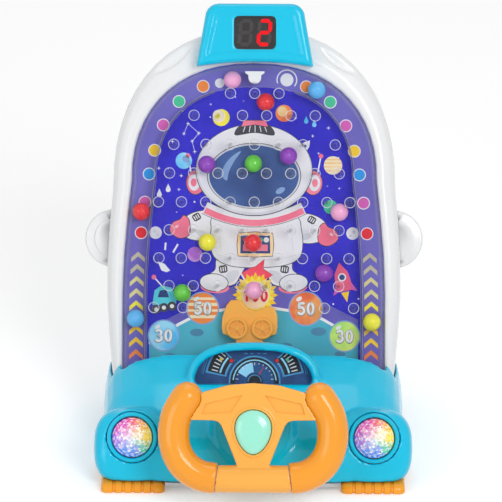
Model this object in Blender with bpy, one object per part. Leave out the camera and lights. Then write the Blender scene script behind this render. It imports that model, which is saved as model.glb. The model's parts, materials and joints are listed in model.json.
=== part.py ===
"""Tabletop pachinko machine with a steering wheel: a leaning play board on a car-shaped base.

Units are metres. +X is the player's right, +Y points away from the player and +Z is up.
Most pieces are modelled in the board frame: x across, v up along the board, w out of the
board towards the player. The empty board_frame turns that frame back by BOARD_TILT.
"""

import math

import bmesh
import bpy
from mathutils import Vector

MM = 0.001
GAP = 0.3 * MM  # between pieces that touch

# Stance: the board leans back, and the front feet touch the table at FOOT_W, FOOT_V
BOARD_TILT = math.radians(22)
FOOT_W = 75 * MM
FOOT_V = 3 * MM

# Upper unit, seen square on
COVER_HALF_WIDTH = 81.7 * MM
COVER_CAP_V = 208.4 * MM
COVER_CAP_HEIGHT = 79.7 * MM
COVER_FLARE = 5.7 * MM
COVER_FLARE_SPAN = 78 * MM
SHELL_HALF_WIDTH = 94.8 * MM
SHELL_CAP_V = 203.7 * MM
SHELL_CAP_HEIGHT = 108.5 * MM
SHELL_FLARE = 3.7 * MM
SHELL_FLARE_SPAN = 60 * MM
OUTLINE_POWER = 2.3
UNIT_BOTTOM_V = 60 * MM
CAP_STEPS = 26
SIDE_STEPS = 6

# Depths of the upper unit, along w from the board's face
BOARD_THICKNESS = 2 * MM
BALL_RADIUS = 6 * MM
BALL_W = BALL_RADIUS + GAP
BALL_HEADROOM = 0.8 * MM
COVER_WALL = 2 * MM
COVER_INNER_W = 2 * BALL_RADIUS + BALL_HEADROOM
COVER_TOP_W = COVER_INNER_W + COVER_WALL
FRAME_FACE_W = 6.2 * MM
FRAME_BACK_W = -10 * MM
FRAME_WALL = 1.8 * MM
HOUSING_BACK_W = -45 * MM
HOUSING_WALL = 2.4 * MM
HOUSING_BOTTOM_Z = 30 * MM
SHOULDER_CUT_RADIUS = 38 * MM
SHOULDER_CUT_X = 75 * MM
SHOULDER_CUT_V = 318 * MM
SHOULDER_FLOOR_W = 1.5 * MM
BOARD_OUTSET = 2.8 * MM  # how far the play board reaches under the frame's lip
LIP_OUTSET = 3.2 * MM
COVER_INNER_ROUND = 2.4 * MM
CUT_REACH = 60 * MM  # how far a cutter runs past what it cuts

# Play field
LANE_WIDTH = 2 * BALL_RADIUS + 0.6 * MM
LANE_WALL = 1.4 * MM
LANE_WALL_BOTTOM_V = 88 * MM
LANE_MOUTH = 24 * MM  # half of the opening at the top, where balls drop into the field
PEG_PITCH = 16.2 * MM
PEG_STEM_RADIUS = 1.2 * MM
PEG_NECK_RADIUS = 1.7 * MM
PEG_HEAD_RADIUS = 3.6 * MM
PEG_SIDES = 6
TROUGH_CENTRE_V = 76 * MM
TROUGH_END_V = 68 * MM
TROUGH_HALF_WIDTH = 68 * MM
DIVIDER_HALF_WIDTH = 4.3 * MM
DIVIDER_TIP_V = 274.5 * MM

# Rows of pegs from the top: height, then places to each side in pitches (0 is one centre peg)
PEG_ROWS = (
    (268.2 * MM, (0, 1)),
    (253.3 * MM, (0.5, 1.5, 2.5)),
    (233.9 * MM, (0, 1, 2, 3.33)),
    (214.7 * MM, (0.5, 1.5, 2.5, 3.5)),
    (195.4 * MM, (0, 1, 2, 3, 3.95)),
    (176.7 * MM, (0.5, 1.5, 2.5, 3.5)),
    (157.9 * MM, (0, 1, 2, 3, 3.92)),
    (139.4 * MM, (0.5, 1.5, 2.5, 3.5)),
    (124.8 * MM, (2.92, 4.12)),
)

# Score display on top
SCORE_TOP_V = 328 * MM
SCORE_BOTTOM_V = 285.8 * MM
SCORE_BOTTOM_RISE = 3.3 * MM
SCORE_TOP_HALF_WIDTH = 33.4 * MM
SCORE_BOTTOM_HALF_WIDTH = 39.2 * MM
SCORE_FRONT_W = 22 * MM
SCORE_BACK_W = -20 * MM
SCORE_CORNER = 9 * MM
SCORE_WALL = 2 * MM
WINDOW_V = 308.5 * MM
WINDOW_WIDTH = 26.1 * MM
WINDOW_HEIGHT = 20.9 * MM
WINDOW_CORNER = 2 * MM
WINDOW_THICKNESS = 1.8 * MM

# Ears on the sides of the rear housing
EAR_RADIUS = 19.4 * MM
EAR_BOSS_RADIUS = 13.4 * MM
EAR_X = 94 * MM
EAR_V = 171 * MM
EAR_FRONT_W = -14 * MM
EAR_BACK_W = -28 * MM

# Base
BASE_FRONT_Y = -66 * MM
BASE_BACK_Y = 104 * MM
BASE_HALF_WIDTH = 100.5 * MM
BASE_PLAN_POWER = 5
BASE_WALL = 2.4 * MM
HOOD_BOTTOM_Z = 6.5 * MM
HOOD_SIDE_POWER = 5
TRAY_BOTTOM_Z = 3.7 * MM
FENDER_X = 79 * MM
FENDER_V = 33.5 * MM
FENDER_HALF_WIDTH = 26 * MM
FENDER_HALF_HEIGHT = 26 * MM
FENDER_FRONT_W = 76 * MM
FENDER_BACK_W = 20 * MM
HEADLIGHT_X = 79.6 * MM
HEADLIGHT_V = 40 * MM
HEADLIGHT_RADIUS = 13.5 * MM
HEADLIGHT_RING_RADIUS = 16.6 * MM
COLUMN_BOSS_RADIUS = 30 * MM
COLUMN_BOSS_FRONT_W = 79 * MM
TYRE_HALF_WIDTH = 21 * MM
TYRE_LENGTH = 44 * MM
TYRE_ROUND = 5 * MM
TYRE_TREADS = 3
REAR_FOOT_X = 66 * MM
REAR_FOOT_Y = 84 * MM
REAR_FOOT_RADIUS = 9 * MM
BASE_MIDDLE_Y = (BASE_FRONT_Y + BASE_BACK_Y) / 2
BASE_PLAN_LENGTH = (BASE_BACK_Y - BASE_FRONT_Y) / 2 + 1 * MM
TYRE_FRONT_Y = BASE_FRONT_Y - 3 * MM
TRAY_TOP_Z = HOOD_BOTTOM_Z - GAP
SLOT_CLEARANCE = 0.5 * MM
COLLAR_RADIUS = HEADLIGHT_RING_RADIUS + 2 * MM
COLLAR_FRONT_W = FENDER_FRONT_W + 1 * MM

# Height of the hood's ridge along its length, nose to tail
HOOD_RIDGE = (
    (-66 * MM, 14 * MM),
    (-60 * MM, 27 * MM),
    (-48 * MM, 39.5 * MM),
    (-33 * MM, 47 * MM),
    (15 * MM, 62 * MM),
    (45 * MM, 64 * MM),
    (75 * MM, 57 * MM),
    (95 * MM, 42 * MM),
    (104 * MM, 26 * MM),
)

# Dash cowl and panel
COWL_FOOT_V = 74 * MM
COWL_HALF_WIDTH = 44.5 * MM
COWL_HEIGHT = 28.3 * MM
COWL_FRONT_W = 43 * MM
COWL_RIM = 5.2 * MM
COWL_POWER = 2.6
PANEL_FACE_W = 31.5 * MM
PANEL_THICKNESS = 1.6 * MM
LENS_THICKNESS = 1.2 * MM
TUB_FLOOR = 1.6 * MM

# Steering
AXIS_V = 44.9 * MM
STEERING_RANGE = math.radians(36)
SHAFT_RADIUS = 4 * MM
SHAFT_INNER_W = 10 * MM
WHEEL_W = 113 * MM
GRIP_RADIUS = 10.35 * MM
BAR_RADIUS = 9.1 * MM
BAR_DROP = 30.6 * MM
PLATE_HALF_THICKNESS = 5 * MM
HUB_RADIUS = 15 * MM
HUB_BACK_W = 84 * MM
HORN_HALF_WIDTH = 11.9 * MM
HORN_HALF_HEIGHT = 14.5 * MM
HORN_TRAVEL = 1.5 * MM
PLATE_FRONT_W = WHEEL_W + PLATE_HALF_THICKNESS
HORN_FLOOR_W = WHEEL_W + 1.5 * MM
HORN_RING_W = PLATE_FRONT_W + 1.2 * MM
HORN_EGG = 0.19  # how much wider the egg is above its middle
SHAFT_FRONT_W = WHEEL_W - PLATE_HALF_THICKNESS - 1.5 * MM
# Right half of the plate's outline, from the middle of its top to its foot on the lower bar
PLATE_LINE = (
    (0, 31.9 * MM),
    (16.2 * MM, 30.6 * MM),
    (31.5 * MM, 26.4 * MM),
    (44 * MM, 20 * MM),
    (44 * MM, 7.8 * MM),
    (26 * MM, 7.6 * MM),
    (22.6 * MM, 6.6 * MM),
    (20.6 * MM, 4 * MM),
    (10.5 * MM, -21.7 * MM),
    (10.5 * MM, -28 * MM),
)
# Middle line of the left grip, from its top end round to the lower bar, from the wheel's axis
GRIP_LINE = (
    (-43.2 * MM, 22.6 * MM),
    (-49.6 * MM, 12 * MM),
    (-51.9 * MM, 0),
    (-50.3 * MM, -12 * MM),
    (-44.5 * MM, -22 * MM),
    (-35 * MM, -28.3 * MM),
    (-24.4 * MM, -30.3 * MM),
)

# Sector gear, rack and catcher car
SECTOR_MODULE = 1.6 * MM
SECTOR_TEETH = 43  # on the full circle
SECTOR_HALF_TEETH = 6
SECTOR_RADIUS = SECTOR_MODULE * SECTOR_TEETH / 2
TOOTH_CLEARANCE = 0.1 * MM
RACK_BACK_W = COVER_TOP_W + 1.8 * MM
RACK_THICKNESS = 4.4 * MM
SECTOR_BACK_W = RACK_BACK_W + 0.2 * MM
SECTOR_FRONT_W = RACK_BACK_W + RACK_THICKNESS - 0.2 * MM
RACK_HALF_TEETH = 6
RACK_BACK_HEIGHT = 5 * MM
ARM_HALF_WIDTH = 5 * MM
ARM_V = 90.5 * MM
ARM_HEIGHT = 4 * MM
CAR_X = -2.7 * MM
CAR_HALF_WIDTH = 18.7 * MM
CAR_ROOF_V = 130 * MM
CAR_SIDE_BOTTOM_V = 107.2 * MM
CAR_BOTTOM_V = 102 * MM
CAR_FOOT_V = 86.6 * MM
CAR_FOOT_HALF_WIDTH = 9 * MM
CAR_BACK_W = 0.6 * MM
CAR_FRONT_W = 9.2 * MM
SCOOP_X = 3.9 * MM
SCOOP_V = 133.2 * MM
SCOOP_RADIUS = BALL_RADIUS + 4.25 * MM
CAR_WHEEL_X = 8.5 * MM
CAR_WHEEL_V = 111 * MM
CAR_WHEEL_RADIUS = 7.4 * MM
CAR_WHEEL_THICKNESS = 2.4 * MM

# Ball launcher
LAUNCH_V = 50.5 * MM
LAUNCH_W = 6.3 * MM
LAUNCH_SHAFT_RADIUS = 2 * MM
LAUNCH_WHEEL_RADIUS = 8.6 * MM
LAUNCH_WHEEL_WIDTH = 9 * MM
LAUNCH_MODULE = 0.8 * MM
LAUNCH_GEAR_TEETH = 20
LAUNCH_PINION_TEETH = 8
LAUNCH_GEAR_X = 30 * MM
LAUNCH_GEAR_WIDTH = 4 * MM
MOTOR_RADIUS = 6.5 * MM
MOTOR_LENGTH = 25 * MM
LAUNCH_SHAFT_HALF = 84 * MM
LAUNCH_MESH_ANGLE = math.radians(7)

# Power and sound
CELL_RADIUS = 7.1 * MM
CELL_LENGTH = 50 * MM
CELL_PITCH = 15 * MM
CELL_MIDDLE_Y = 70 * MM
CELL_COUNT = 3
BAY_WALL = 1.6 * MM
SPEAKER_RADIUS = 19 * MM
SWITCH_V = 150 * MM
SWITCH_TRAVEL = 4 * MM
SCREW_X = 55 * MM
SCREW_V = 240 * MM
PCB_V = 245 * MM
PCB_HALF_WIDTH = 34 * MM
PCB_HALF_HEIGHT = 26 * MM
PCB_HOLE_X = 29 * MM
PCB_HOLE_V = 21 * MM
PCB_BACK_W = -14 * MM
PCB_THICKNESS = 1.6 * MM
SCREW_HEAD_RADIUS = 3 * MM
SCREW_HEAD_HEIGHT = 1.8 * MM
SCREW_SHANK_RADIUS = 1.5 * MM
SCREW_SINK = 3 * MM
SCREW_TIP_W = -24 * MM
SWITCH_WIDTH = 8 * MM
SWITCH_HEIGHT = 5 * MM
SWITCH_STAND = 2.4 * MM

# Balls in play: name, x, v. Lane balls give only v, and lie on the middle of their lane
FIELD_BALLS = (
    ("ball_pink_top", -14.9 * MM, 277.3 * MM),
    ("ball_red_top", 7.3 * MM, 262.6 * MM),
    ("ball_purple_left", -31.8 * MM, 220.6 * MM),
    ("ball_green_middle", -0.7 * MM, 221.3 * MM),
    ("ball_purple_right", 22.8 * MM, 226.5 * MM),
    ("ball_pink_right", 57 * MM, 189 * MM),
    ("ball_yellow_left", -31.2 * MM, 168.5 * MM),
    ("ball_red_middle", -0.7 * MM, 168.2 * MM),
    ("ball_purple_low", 46.9 * MM, 148.2 * MM),
    ("ball_green_low", -47.9 * MM, 134.6 * MM),
    ("ball_pink_low", 0, 136.4 * MM),
)
LANE_BALLS = (
    ("ball_red_lane", -1, 188.9 * MM),
    ("ball_blue_lane", -1, 117.3 * MM),
    ("ball_yellow_lane", 1, 115.6 * MM),
)
ARCH_BALL_X = 41.5 * MM

ORANGE = (1.0, 0.5, 0.03)
CYAN = (0.0, 0.6, 0.8)
WHITE = (0.9, 0.9, 0.9)
CLEAR = (0.85, 0.9, 0.95)
BLUE = (0.05, 0.04, 0.5)
STEEL = (0.55, 0.55, 0.57)
BALL_COLOURS = {
    "pink": (0.95, 0.55, 0.8),
    "red": (0.85, 0.02, 0.03),
    "purple": (0.4, 0.05, 0.55),
    "green": (0.15, 0.65, 0.05),
    "yellow": (0.95, 0.85, 0.02),
    "blue": (0.15, 0.5, 0.9),
}


# ---------------------------------------------------------------- helpers


def clear_scene():
    for obj in list(bpy.data.objects):
        bpy.data.objects.remove(obj, do_unlink=True)


def empty(name, parent=None, location=(0, 0, 0), tilt=0.0):
    obj = bpy.data.objects.new(name, None)
    obj.location = location
    obj.rotation_euler = (tilt, 0, 0)
    obj.parent = parent
    bpy.context.collection.objects.link(obj)
    return obj


def material(name, colour, roughness=0.35, metallic=0.0, alpha=1.0):
    found = bpy.data.materials.get(name)
    if found:
        return found
    made = bpy.data.materials.new(name)
    made.use_nodes = True
    shader = made.node_tree.nodes["Principled BSDF"]
    shader.inputs["Base Color"].default_value = (*colour, 1)
    shader.inputs["Roughness"].default_value = roughness
    shader.inputs["Metallic"].default_value = metallic
    shader.inputs["Alpha"].default_value = alpha
    return made


def solid(name, shape, finish, parent, location=(0, 0, 0), outward=True):
    """Makes an object from (points, faces), in its parent's frame."""
    points, faces = shape
    mesh = bpy.data.meshes.new(name)
    mesh.from_pydata([tuple(p) for p in points], [], faces)
    work = bmesh.new()
    work.from_mesh(mesh)
    bmesh.ops.remove_doubles(work, verts=work.verts, dist=1e-6)
    if outward:
        bmesh.ops.recalc_face_normals(work, faces=work.faces)
    work.to_mesh(mesh)
    work.free()
    mesh.shade_smooth()
    mesh.set_sharp_from_angle(angle=math.radians(35))
    mesh.materials.append(finish)
    obj = bpy.data.objects.new(name, mesh)
    obj.parent = parent
    obj.location = location
    bpy.context.collection.objects.link(obj)
    return obj


def cutter(name, shape, parent, location=(0, 0, 0)):
    obj = solid(name, shape, material("cutter", (1, 0, 1)), parent, location)
    obj.hide_render = True
    obj.display_type = "WIRE"
    return obj


def combine(obj, other, operation):
    step = obj.modifiers.new(f"{operation.lower()}_{other.name}", "BOOLEAN")
    step.operation = operation
    step.object = other
    step.solver = "EXACT"


def cut(obj, *others):
    for other in others:
        combine(obj, other, "DIFFERENCE")


def join(obj, *others):
    for other in others:
        combine(obj, other, "UNION")


def loft(rings, closed=False):
    """Joins rings of as many points each, and caps both ends unless the loft is closed."""
    count = len(rings[0])
    points = [point for ring in rings for point in ring]
    faces = []
    for level in range(len(rings) - (0 if closed else 1)):
        low = level * count
        high = (level + 1) % len(rings) * count
        for i in range(count):
            k = (i + 1) % count
            faces.append((low + i, low + k, high + k, high + i))
    if not closed:
        faces.append(tuple(range(count)))
        faces.append(tuple((len(rings) - 1) * count + i for i in range(count)))
    return points, faces


def merged(shapes):
    """Several closed shapes as one set of points and faces."""
    points, faces = [], []
    for more_points, more_faces in shapes:
        start = len(points)
        points.extend(more_points)
        faces.extend(tuple(start + i for i in face) for face in more_faces)
    return points, faces


def on_board(x, v, w):
    """A point of the board frame as the board_frame empty's own coordinates."""
    return Vector((x, -w, v))


def plate(outline, w_back, w_front):
    """A flat plate in the board frame, from an outline of (x, v) points."""
    return loft([[on_board(x, v, w) for x, v in outline] for w in (w_back, w_front)])


def domed(outlines_and_w):
    """A plate whose outline changes with depth: pairs of outline and w."""
    return loft([[on_board(x, v, w) for x, v in outline] for outline, w in outlines_and_w])


def box(low, high):
    corners = [(low[0], low[1]), (high[0], low[1]), (high[0], high[1]), (low[0], high[1])]
    return loft([[Vector((x, y, z)) for x, y in corners] for z in (low[2], high[2])])


def board_box(x, v, w):
    """A box in the board frame, from three (low, high) pairs."""
    outline = [(x[0], v[0]), (x[1], v[0]), (x[1], v[1]), (x[0], v[1])]
    return plate(outline, *w)


def circle(radius, steps, x=0.0, v=0.0, phase=0.0):
    turn = math.tau / steps
    return [
        (x + radius * math.cos(phase + i * turn), v + radius * math.sin(phase + i * turn))
        for i in range(steps)
    ]


def rounded_rectangle(x_low, x_high, v_low, v_high, radius, steps=3):
    corners = (
        (x_high - radius, v_high - radius, 0),
        (x_low + radius, v_high - radius, 1),
        (x_low + radius, v_low + radius, 2),
        (x_high - radius, v_low + radius, 3),
    )
    outline = []
    for x, v, quarter in corners:
        for i in range(steps + 1):
            angle = (quarter + i / steps) * math.pi / 2
            outline.append((x + radius * math.cos(angle), v + radius * math.sin(angle)))
    return outline


def disc_stack(levels, steps, x=0.0, v=0.0):
    """A turned piece whose axis is w: levels of (radius, w)."""
    return domed([(circle(radius, steps, x, v), w) for radius, w in levels])


def along_x(levels, steps, y=0.0, z=0.0):
    """A turned piece whose axis is X: levels of (radius, x)."""
    rings = []
    for radius, x in levels:
        rings.append([Vector((x, y + a, z + b)) for a, b in circle(radius, steps)])
    return loft(rings)


def along_z(levels, steps, x=0.0, y=0.0):
    """A turned piece whose axis is Z: levels of (radius, z)."""
    return loft([[Vector((a, b, z)) for a, b in circle(radius, steps, x, y)] for radius, z in levels])


def smooth_curve(control, steps):
    """A Catmull-Rom curve through 2-D points, steps points to each stretch."""
    ends = [control[0], *control, control[-1]]
    curve = []
    for i in range(len(control) - 1):
        p0, p1, p2, p3 = (Vector(p) for p in ends[i : i + 4])
        for k in range(steps):
            t = k / steps
            curve.append(
                0.5 * (2 * p1 + (p2 - p0) * t + (2 * p0 - 5 * p1 + 4 * p2 - p3) * t**2
                       + (3 * p1 - p0 - 3 * p2 + p3) * t**3)
            )
    curve.append(Vector(control[-1]))
    return curve


def signed_power(value, power):
    return math.copysign(abs(value) ** power, value)


def rolled_pipe(line, radius, sides, w, dome_steps=3):
    """A round bar along a line of (x, v) points at depth w, with a domed start and a flat end."""
    count = len(line)
    rings = []
    for i, point in enumerate(line):
        ahead = (line[min(i + 1, count - 1)] - line[max(i - 1, 0)]).normalized()
        side = Vector((ahead.y, -ahead.x))
        if i == 0:
            for k in range(dome_steps):
                angle = math.pi / 2 * (k + 0.35) / dome_steps
                middle = point - ahead * radius * math.cos(angle)
                rings.append(bar_ring(middle, side, radius * math.sin(angle), sides, w))
        rings.append(bar_ring(point, side, radius, sides, w))
    return loft(rings)


def bar_ring(middle, side, radius, sides, w):
    ring = []
    for k in range(sides):
        angle = math.tau * k / sides
        across = middle + side * radius * math.cos(angle)
        ring.append(on_board(across.x, across.y, w + radius * math.sin(angle)))
    return ring


def gear_outline(module, teeth, clearance, x=0.0, v=0.0, phase=0.0, first=0, last=None):
    """Trapezoid teeth round a circle, as (x, v) points; phase is where tooth 0 points."""
    pitch_radius = module * teeth / 2
    tip = pitch_radius + 0.75 * module
    root = pitch_radius - 1.0 * module
    pitch_angle = math.tau / teeth
    outline = []
    for tooth in range(first, teeth if last is None else last + 1):
        middle = phase + tooth * pitch_angle
        for radius, half in ((root, 0.36), (tip, 0.12), (tip, -0.12), (root, -0.36)):
            angle = middle - (half - math.copysign(clearance / (module * math.pi), half)) * pitch_angle
            outline.append((x + radius * math.cos(angle), v + radius * math.sin(angle)))
    return outline


# ---------------------------------------------------------------- outlines of the upper unit


def arch_outline(half_width, cap_v, cap_height, side, bottom, cap_steps=CAP_STEPS):
    """Right foot, up, over the cap and down to the left foot. side(drop) widens below the cap."""
    right = []
    for i in range(SIDE_STEPS):
        v = bottom + (cap_v - bottom) * i / SIDE_STEPS
        right.append((half_width + side(cap_v - v), v))
    cap = []
    for i in range(cap_steps + 1):
        angle = math.pi * i / cap_steps
        x = half_width * signed_power(math.cos(angle), 2 / OUTLINE_POWER)
        cap.append((x, cap_v + cap_height * abs(math.sin(angle)) ** (2 / OUTLINE_POWER)))
    left = [(-x, v) for x, v in reversed(right)]
    return right + cap + left


def cover_side(drop):
    return COVER_FLARE * math.sin(math.pi / 2 * min(1, drop / COVER_FLARE_SPAN))


def shell_side(drop):
    return SHELL_FLARE * math.sin(math.pi / 2 * drop / SHELL_FLARE_SPAN)


def cover_outline(inset=0.0, bottom=UNIT_BOTTOM_V):
    return arch_outline(
        COVER_HALF_WIDTH - inset, COVER_CAP_V, COVER_CAP_HEIGHT - inset, cover_side, bottom
    )


def shell_outline(inset=0.0, bottom=UNIT_BOTTOM_V):
    return arch_outline(
        SHELL_HALF_WIDTH - inset, SHELL_CAP_V, SHELL_CAP_HEIGHT - inset, shell_side, bottom
    )


def cover_half_width(v):
    return COVER_HALF_WIDTH + cover_side(COVER_CAP_V - v)


# ---------------------------------------------------------------- upper unit


def play_board(parent):
    board = solid(
        "play_board",
        plate(cover_outline(-BOARD_OUTSET), -BOARD_THICKNESS, 0),
        material("board_print", BLUE, 0.4),
        parent,
    )
    half = TROUGH_HALF_WIDTH
    sill = [
        (-half, UNIT_BOTTOM_V),
        (half, UNIT_BOTTOM_V),
        (half, TROUGH_END_V),
        (0, TROUGH_CENTRE_V),
        (-half, TROUGH_END_V),
    ]
    join(board, cutter("trough", plate(sill, -BOARD_THICKNESS / 2, COVER_INNER_W - 3 * GAP), parent))


def clear_cover(parent):
    foot = UNIT_BOTTOM_V
    inner_foot = foot + COVER_WALL
    wall = COVER_WALL
    shape = domed(
        [
            (cover_outline(5 * MM, foot), COVER_TOP_W),
            (cover_outline(2.2 * MM, foot), COVER_TOP_W - 0.5 * MM),
            (cover_outline(0.6 * MM, foot), COVER_TOP_W - 2.2 * MM),
            (cover_outline(0, foot), COVER_TOP_W - 4.8 * MM),
            (cover_outline(0, foot), GAP),
            (cover_outline(wall, inner_foot), GAP),
            (cover_outline(wall, inner_foot), COVER_INNER_W - 3 * MM),
            (cover_outline(wall + 0.8 * MM, inner_foot), COVER_INNER_W - 1 * MM),
            (cover_outline(wall + COVER_INNER_ROUND, inner_foot), COVER_INNER_W),
        ]
    )
    cover = solid("clear_cover", shape, material("clear_plastic", CLEAR, 0.05, alpha=0.3), parent)
    inside = cover_half_width(UNIT_BOTTOM_V) - wall
    mouth = board_box((-inside, inside), (foot - wall, foot + 1.5 * wall), (-wall, COVER_INNER_W))
    cut(cover, cutter("cover_mouth", mouth, parent))
    join(cover, cutter("lane_wall_right", lane_wall(1), parent))
    join(cover, cutter("lane_wall_left", lane_wall(-1), parent))
    join(cover, cutter("pegs", peg_cluster(), parent))
    travel = SECTOR_RADIUS * STEERING_RANGE + ARM_HALF_WIDTH + 2 * GAP
    reach = ARM_HEIGHT / 2 + 2 * GAP
    slot = board_box(
        (-travel, travel), (ARM_V - reach, ARM_V + reach), (COVER_INNER_W - wall, COVER_TOP_W + wall)
    )
    cut(cover, cutter("arm_slot", slot, parent))


def lane_wall(side):
    """The strip between a lane and the field, from its foot up and over to the lane's mouth."""
    inset = COVER_WALL + LANE_WIDTH
    near = cover_outline(inset, LANE_WALL_BOTTOM_V)
    far = cover_outline(inset + LANE_WALL, LANE_WALL_BOTTOM_V)
    low, high = 0.5 * MM, COVER_INNER_W + 0.5 * MM
    rings = []
    for (x, v), (x_far, v_far) in zip(near, far):
        if x < LANE_MOUTH:
            break
        corners = ((x, v, low), (x, v, high), (x_far, v_far, high), (x_far, v_far, low))
        rings.append([on_board(side * a, b, c) for a, b, c in corners])
    return loft(rings)


def peg_places():
    places = []
    for v, steps in PEG_ROWS:
        for step in steps:
            places.append((step * PEG_PITCH, v))
            if step:
                places.append((-step * PEG_PITCH, v))
    return places


def peg_cluster():
    levels = (
        (PEG_STEM_RADIUS, 2 * GAP),
        (PEG_NECK_RADIUS, 0.62 * COVER_INNER_W),
        (PEG_HEAD_RADIUS, COVER_INNER_W + 0.4 * MM),
    )
    return merged([disc_stack(levels, PEG_SIDES, x, v) for x, v in peg_places()])


def frame_shape(clearance=0.0):
    """The front frame's ring, or the same ring grown by a clearance."""
    c = clearance
    inner = cover_outline(-GAP + c)
    lip = cover_outline(-LIP_OUTSET)
    outer = shell_outline(-c)
    wall = shell_outline(FRAME_WALL)
    rings = []
    for a, b, d, e in zip(inner, lip, outer, wall):
        def between(share):
            return (a[0] + (d[0] - a[0]) * share, a[1] + (d[1] - a[1]) * share)

        profile = (
            (a, GAP - c),
            (a, FRAME_FACE_W - 1 * MM + c),
            (between(0.08), FRAME_FACE_W + c),
            (between(0.38), FRAME_FACE_W + c),
            (between(0.72), FRAME_FACE_W - 2 * MM + c),
            (between(0.93), FRAME_FACE_W - 5.6 * MM + c),
            (d, FRAME_FACE_W - 10.2 * MM),
            (d, FRAME_BACK_W - c),
            (e, FRAME_BACK_W - c),
            (e, -2.6 * MM),
            (b, GAP - c),
        )
        rings.append([on_board(x, v, w) for (x, v), w in profile])
    return loft(rings)


def front_frame(parent):
    frame = solid("front_frame", frame_shape(), material("white_plastic", WHITE, 0.3), parent)
    for side, name in ((-1, "left"), (1, "right")):
        scoop = disc_stack(
            ((SHOULDER_CUT_RADIUS, SHOULDER_FLOOR_W), (SHOULDER_CUT_RADIUS, CUT_REACH)),
            40,
            side * SHOULDER_CUT_X,
            SHOULDER_CUT_V,
        )
        cut(frame, cutter(f"shoulder_{name}", scoop, parent))


def rear_housing(parent, ground):
    front = FRAME_BACK_W - GAP
    back = HOUSING_BACK_W
    wall = HOUSING_WALL
    inner_foot = UNIT_BOTTOM_V + wall
    shape = domed(
        [
            (shell_outline(12 * MM), back),
            (shell_outline(5 * MM), back + 1.5 * MM),
            (shell_outline(1.5 * MM), back + 6 * MM),
            (shell_outline(0), back + 13 * MM),
            (shell_outline(0), front),
            (shell_outline(wall, inner_foot), front),
            (shell_outline(wall, inner_foot), back + 13 * MM),
            (shell_outline(wall + 2 * MM, inner_foot), back + 7 * MM),
            (shell_outline(wall + 10 * MM, inner_foot), back + wall),
        ]
    )
    housing = solid("rear_housing", shape, material("white_plastic", WHITE, 0.3), parent)
    low = (-2 * SHELL_HALF_WIDTH, -CUT_REACH, -CUT_REACH)
    high = (2 * SHELL_HALF_WIDTH, 3 * CUT_REACH, HOUSING_BOTTOM_Z)
    cut(housing, cutter("housing_floor_cut", box(low, high), ground))
    inside = back + 0.6 * wall
    for side, name in ((-1, "left"), (1, "right")):
        for v, level in ((PCB_V - PCB_HOLE_V, "low"), (PCB_V + PCB_HOLE_V, "high")):
            post = ((3 * MM, inside), (2.6 * MM, PCB_BACK_W - GAP))
            join(housing, cutter(f"post_{name}_{level}", disc_stack(post, 10, side * PCB_HOLE_X, v), parent))
        boss = ((SCREW_HEAD_RADIUS + 2 * MM, inside), (SCREW_HEAD_RADIUS + 1.6 * MM, SCREW_TIP_W - 2 * MM))
        join(housing, cutter(f"boss_{name}", disc_stack(boss, 14, side * SCREW_X, SCREW_V), parent))
        bore = (
            (SCREW_HEAD_RADIUS + GAP, back - wall),
            (SCREW_HEAD_RADIUS + GAP, back + SCREW_SINK),
            (SCREW_SHANK_RADIUS + GAP, back + SCREW_SINK),
            (SCREW_SHANK_RADIUS + GAP, 0),
        )
        cut(housing, cutter(f"bore_{name}", disc_stack(bore, 14, side * SCREW_X, SCREW_V), parent))
    reach = (SWITCH_WIDTH + SWITCH_TRAVEL) / 2 + GAP
    pocket = board_box(
        (-reach, reach),
        (SWITCH_V - SWITCH_HEIGHT / 2 - GAP, SWITCH_V + SWITCH_HEIGHT / 2 + GAP),
        (back - wall, back + wall / 2),
    )
    cut(housing, cutter("switch_pocket", pocket, parent))


def ears(parent):
    levels = (
        (EAR_RADIUS - 1 * MM, EAR_BACK_W),
        (EAR_RADIUS, EAR_BACK_W + 1 * MM),
        (EAR_RADIUS, EAR_FRONT_W - 1 * MM),
        (EAR_RADIUS - 1 * MM, EAR_FRONT_W),
        (EAR_BOSS_RADIUS, EAR_FRONT_W),
        (EAR_BOSS_RADIUS, EAR_FRONT_W + 0.8 * MM),
        (EAR_BOSS_RADIUS - 0.6 * MM, EAR_FRONT_W + 1.2 * MM),
    )
    prism = cutter("ear_seat", plate(shell_outline(-GAP), -CUT_REACH, CUT_REACH), parent)
    for side, name in ((-1, "left"), (1, "right")):
        ear = solid(
            f"ear_{name}",
            disc_stack(levels, 36, side * EAR_X, EAR_V),
            material("white_plastic", WHITE, 0.3),
            parent,
        )
        cut(ear, prism)


def top_divider(parent):
    half = DIVIDER_HALF_WIDTH
    top = COVER_CAP_V + COVER_CAP_HEIGHT - COVER_WALL - COVER_INNER_ROUND - GAP
    wing = 1.5 * half
    outline = [
        (wing, top - 1.6 * MM),
        (wing, top - 0.5 * MM),
        (-wing, top - 0.5 * MM),
        (-wing, top - 1.6 * MM),
        (-half, top - 3 * MM),
        *[
            (half * math.cos(a), DIVIDER_TIP_V + half + half * math.sin(a))
            for a in (math.pi * (1 + k / 8) for k in range(9))
        ],
        (half, top - 3 * MM),
    ]
    solid(
        "top_divider",
        plate(outline, GAP, COVER_INNER_W - GAP),
        material("white_plastic", WHITE, 0.3),
        parent,
    )


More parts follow.
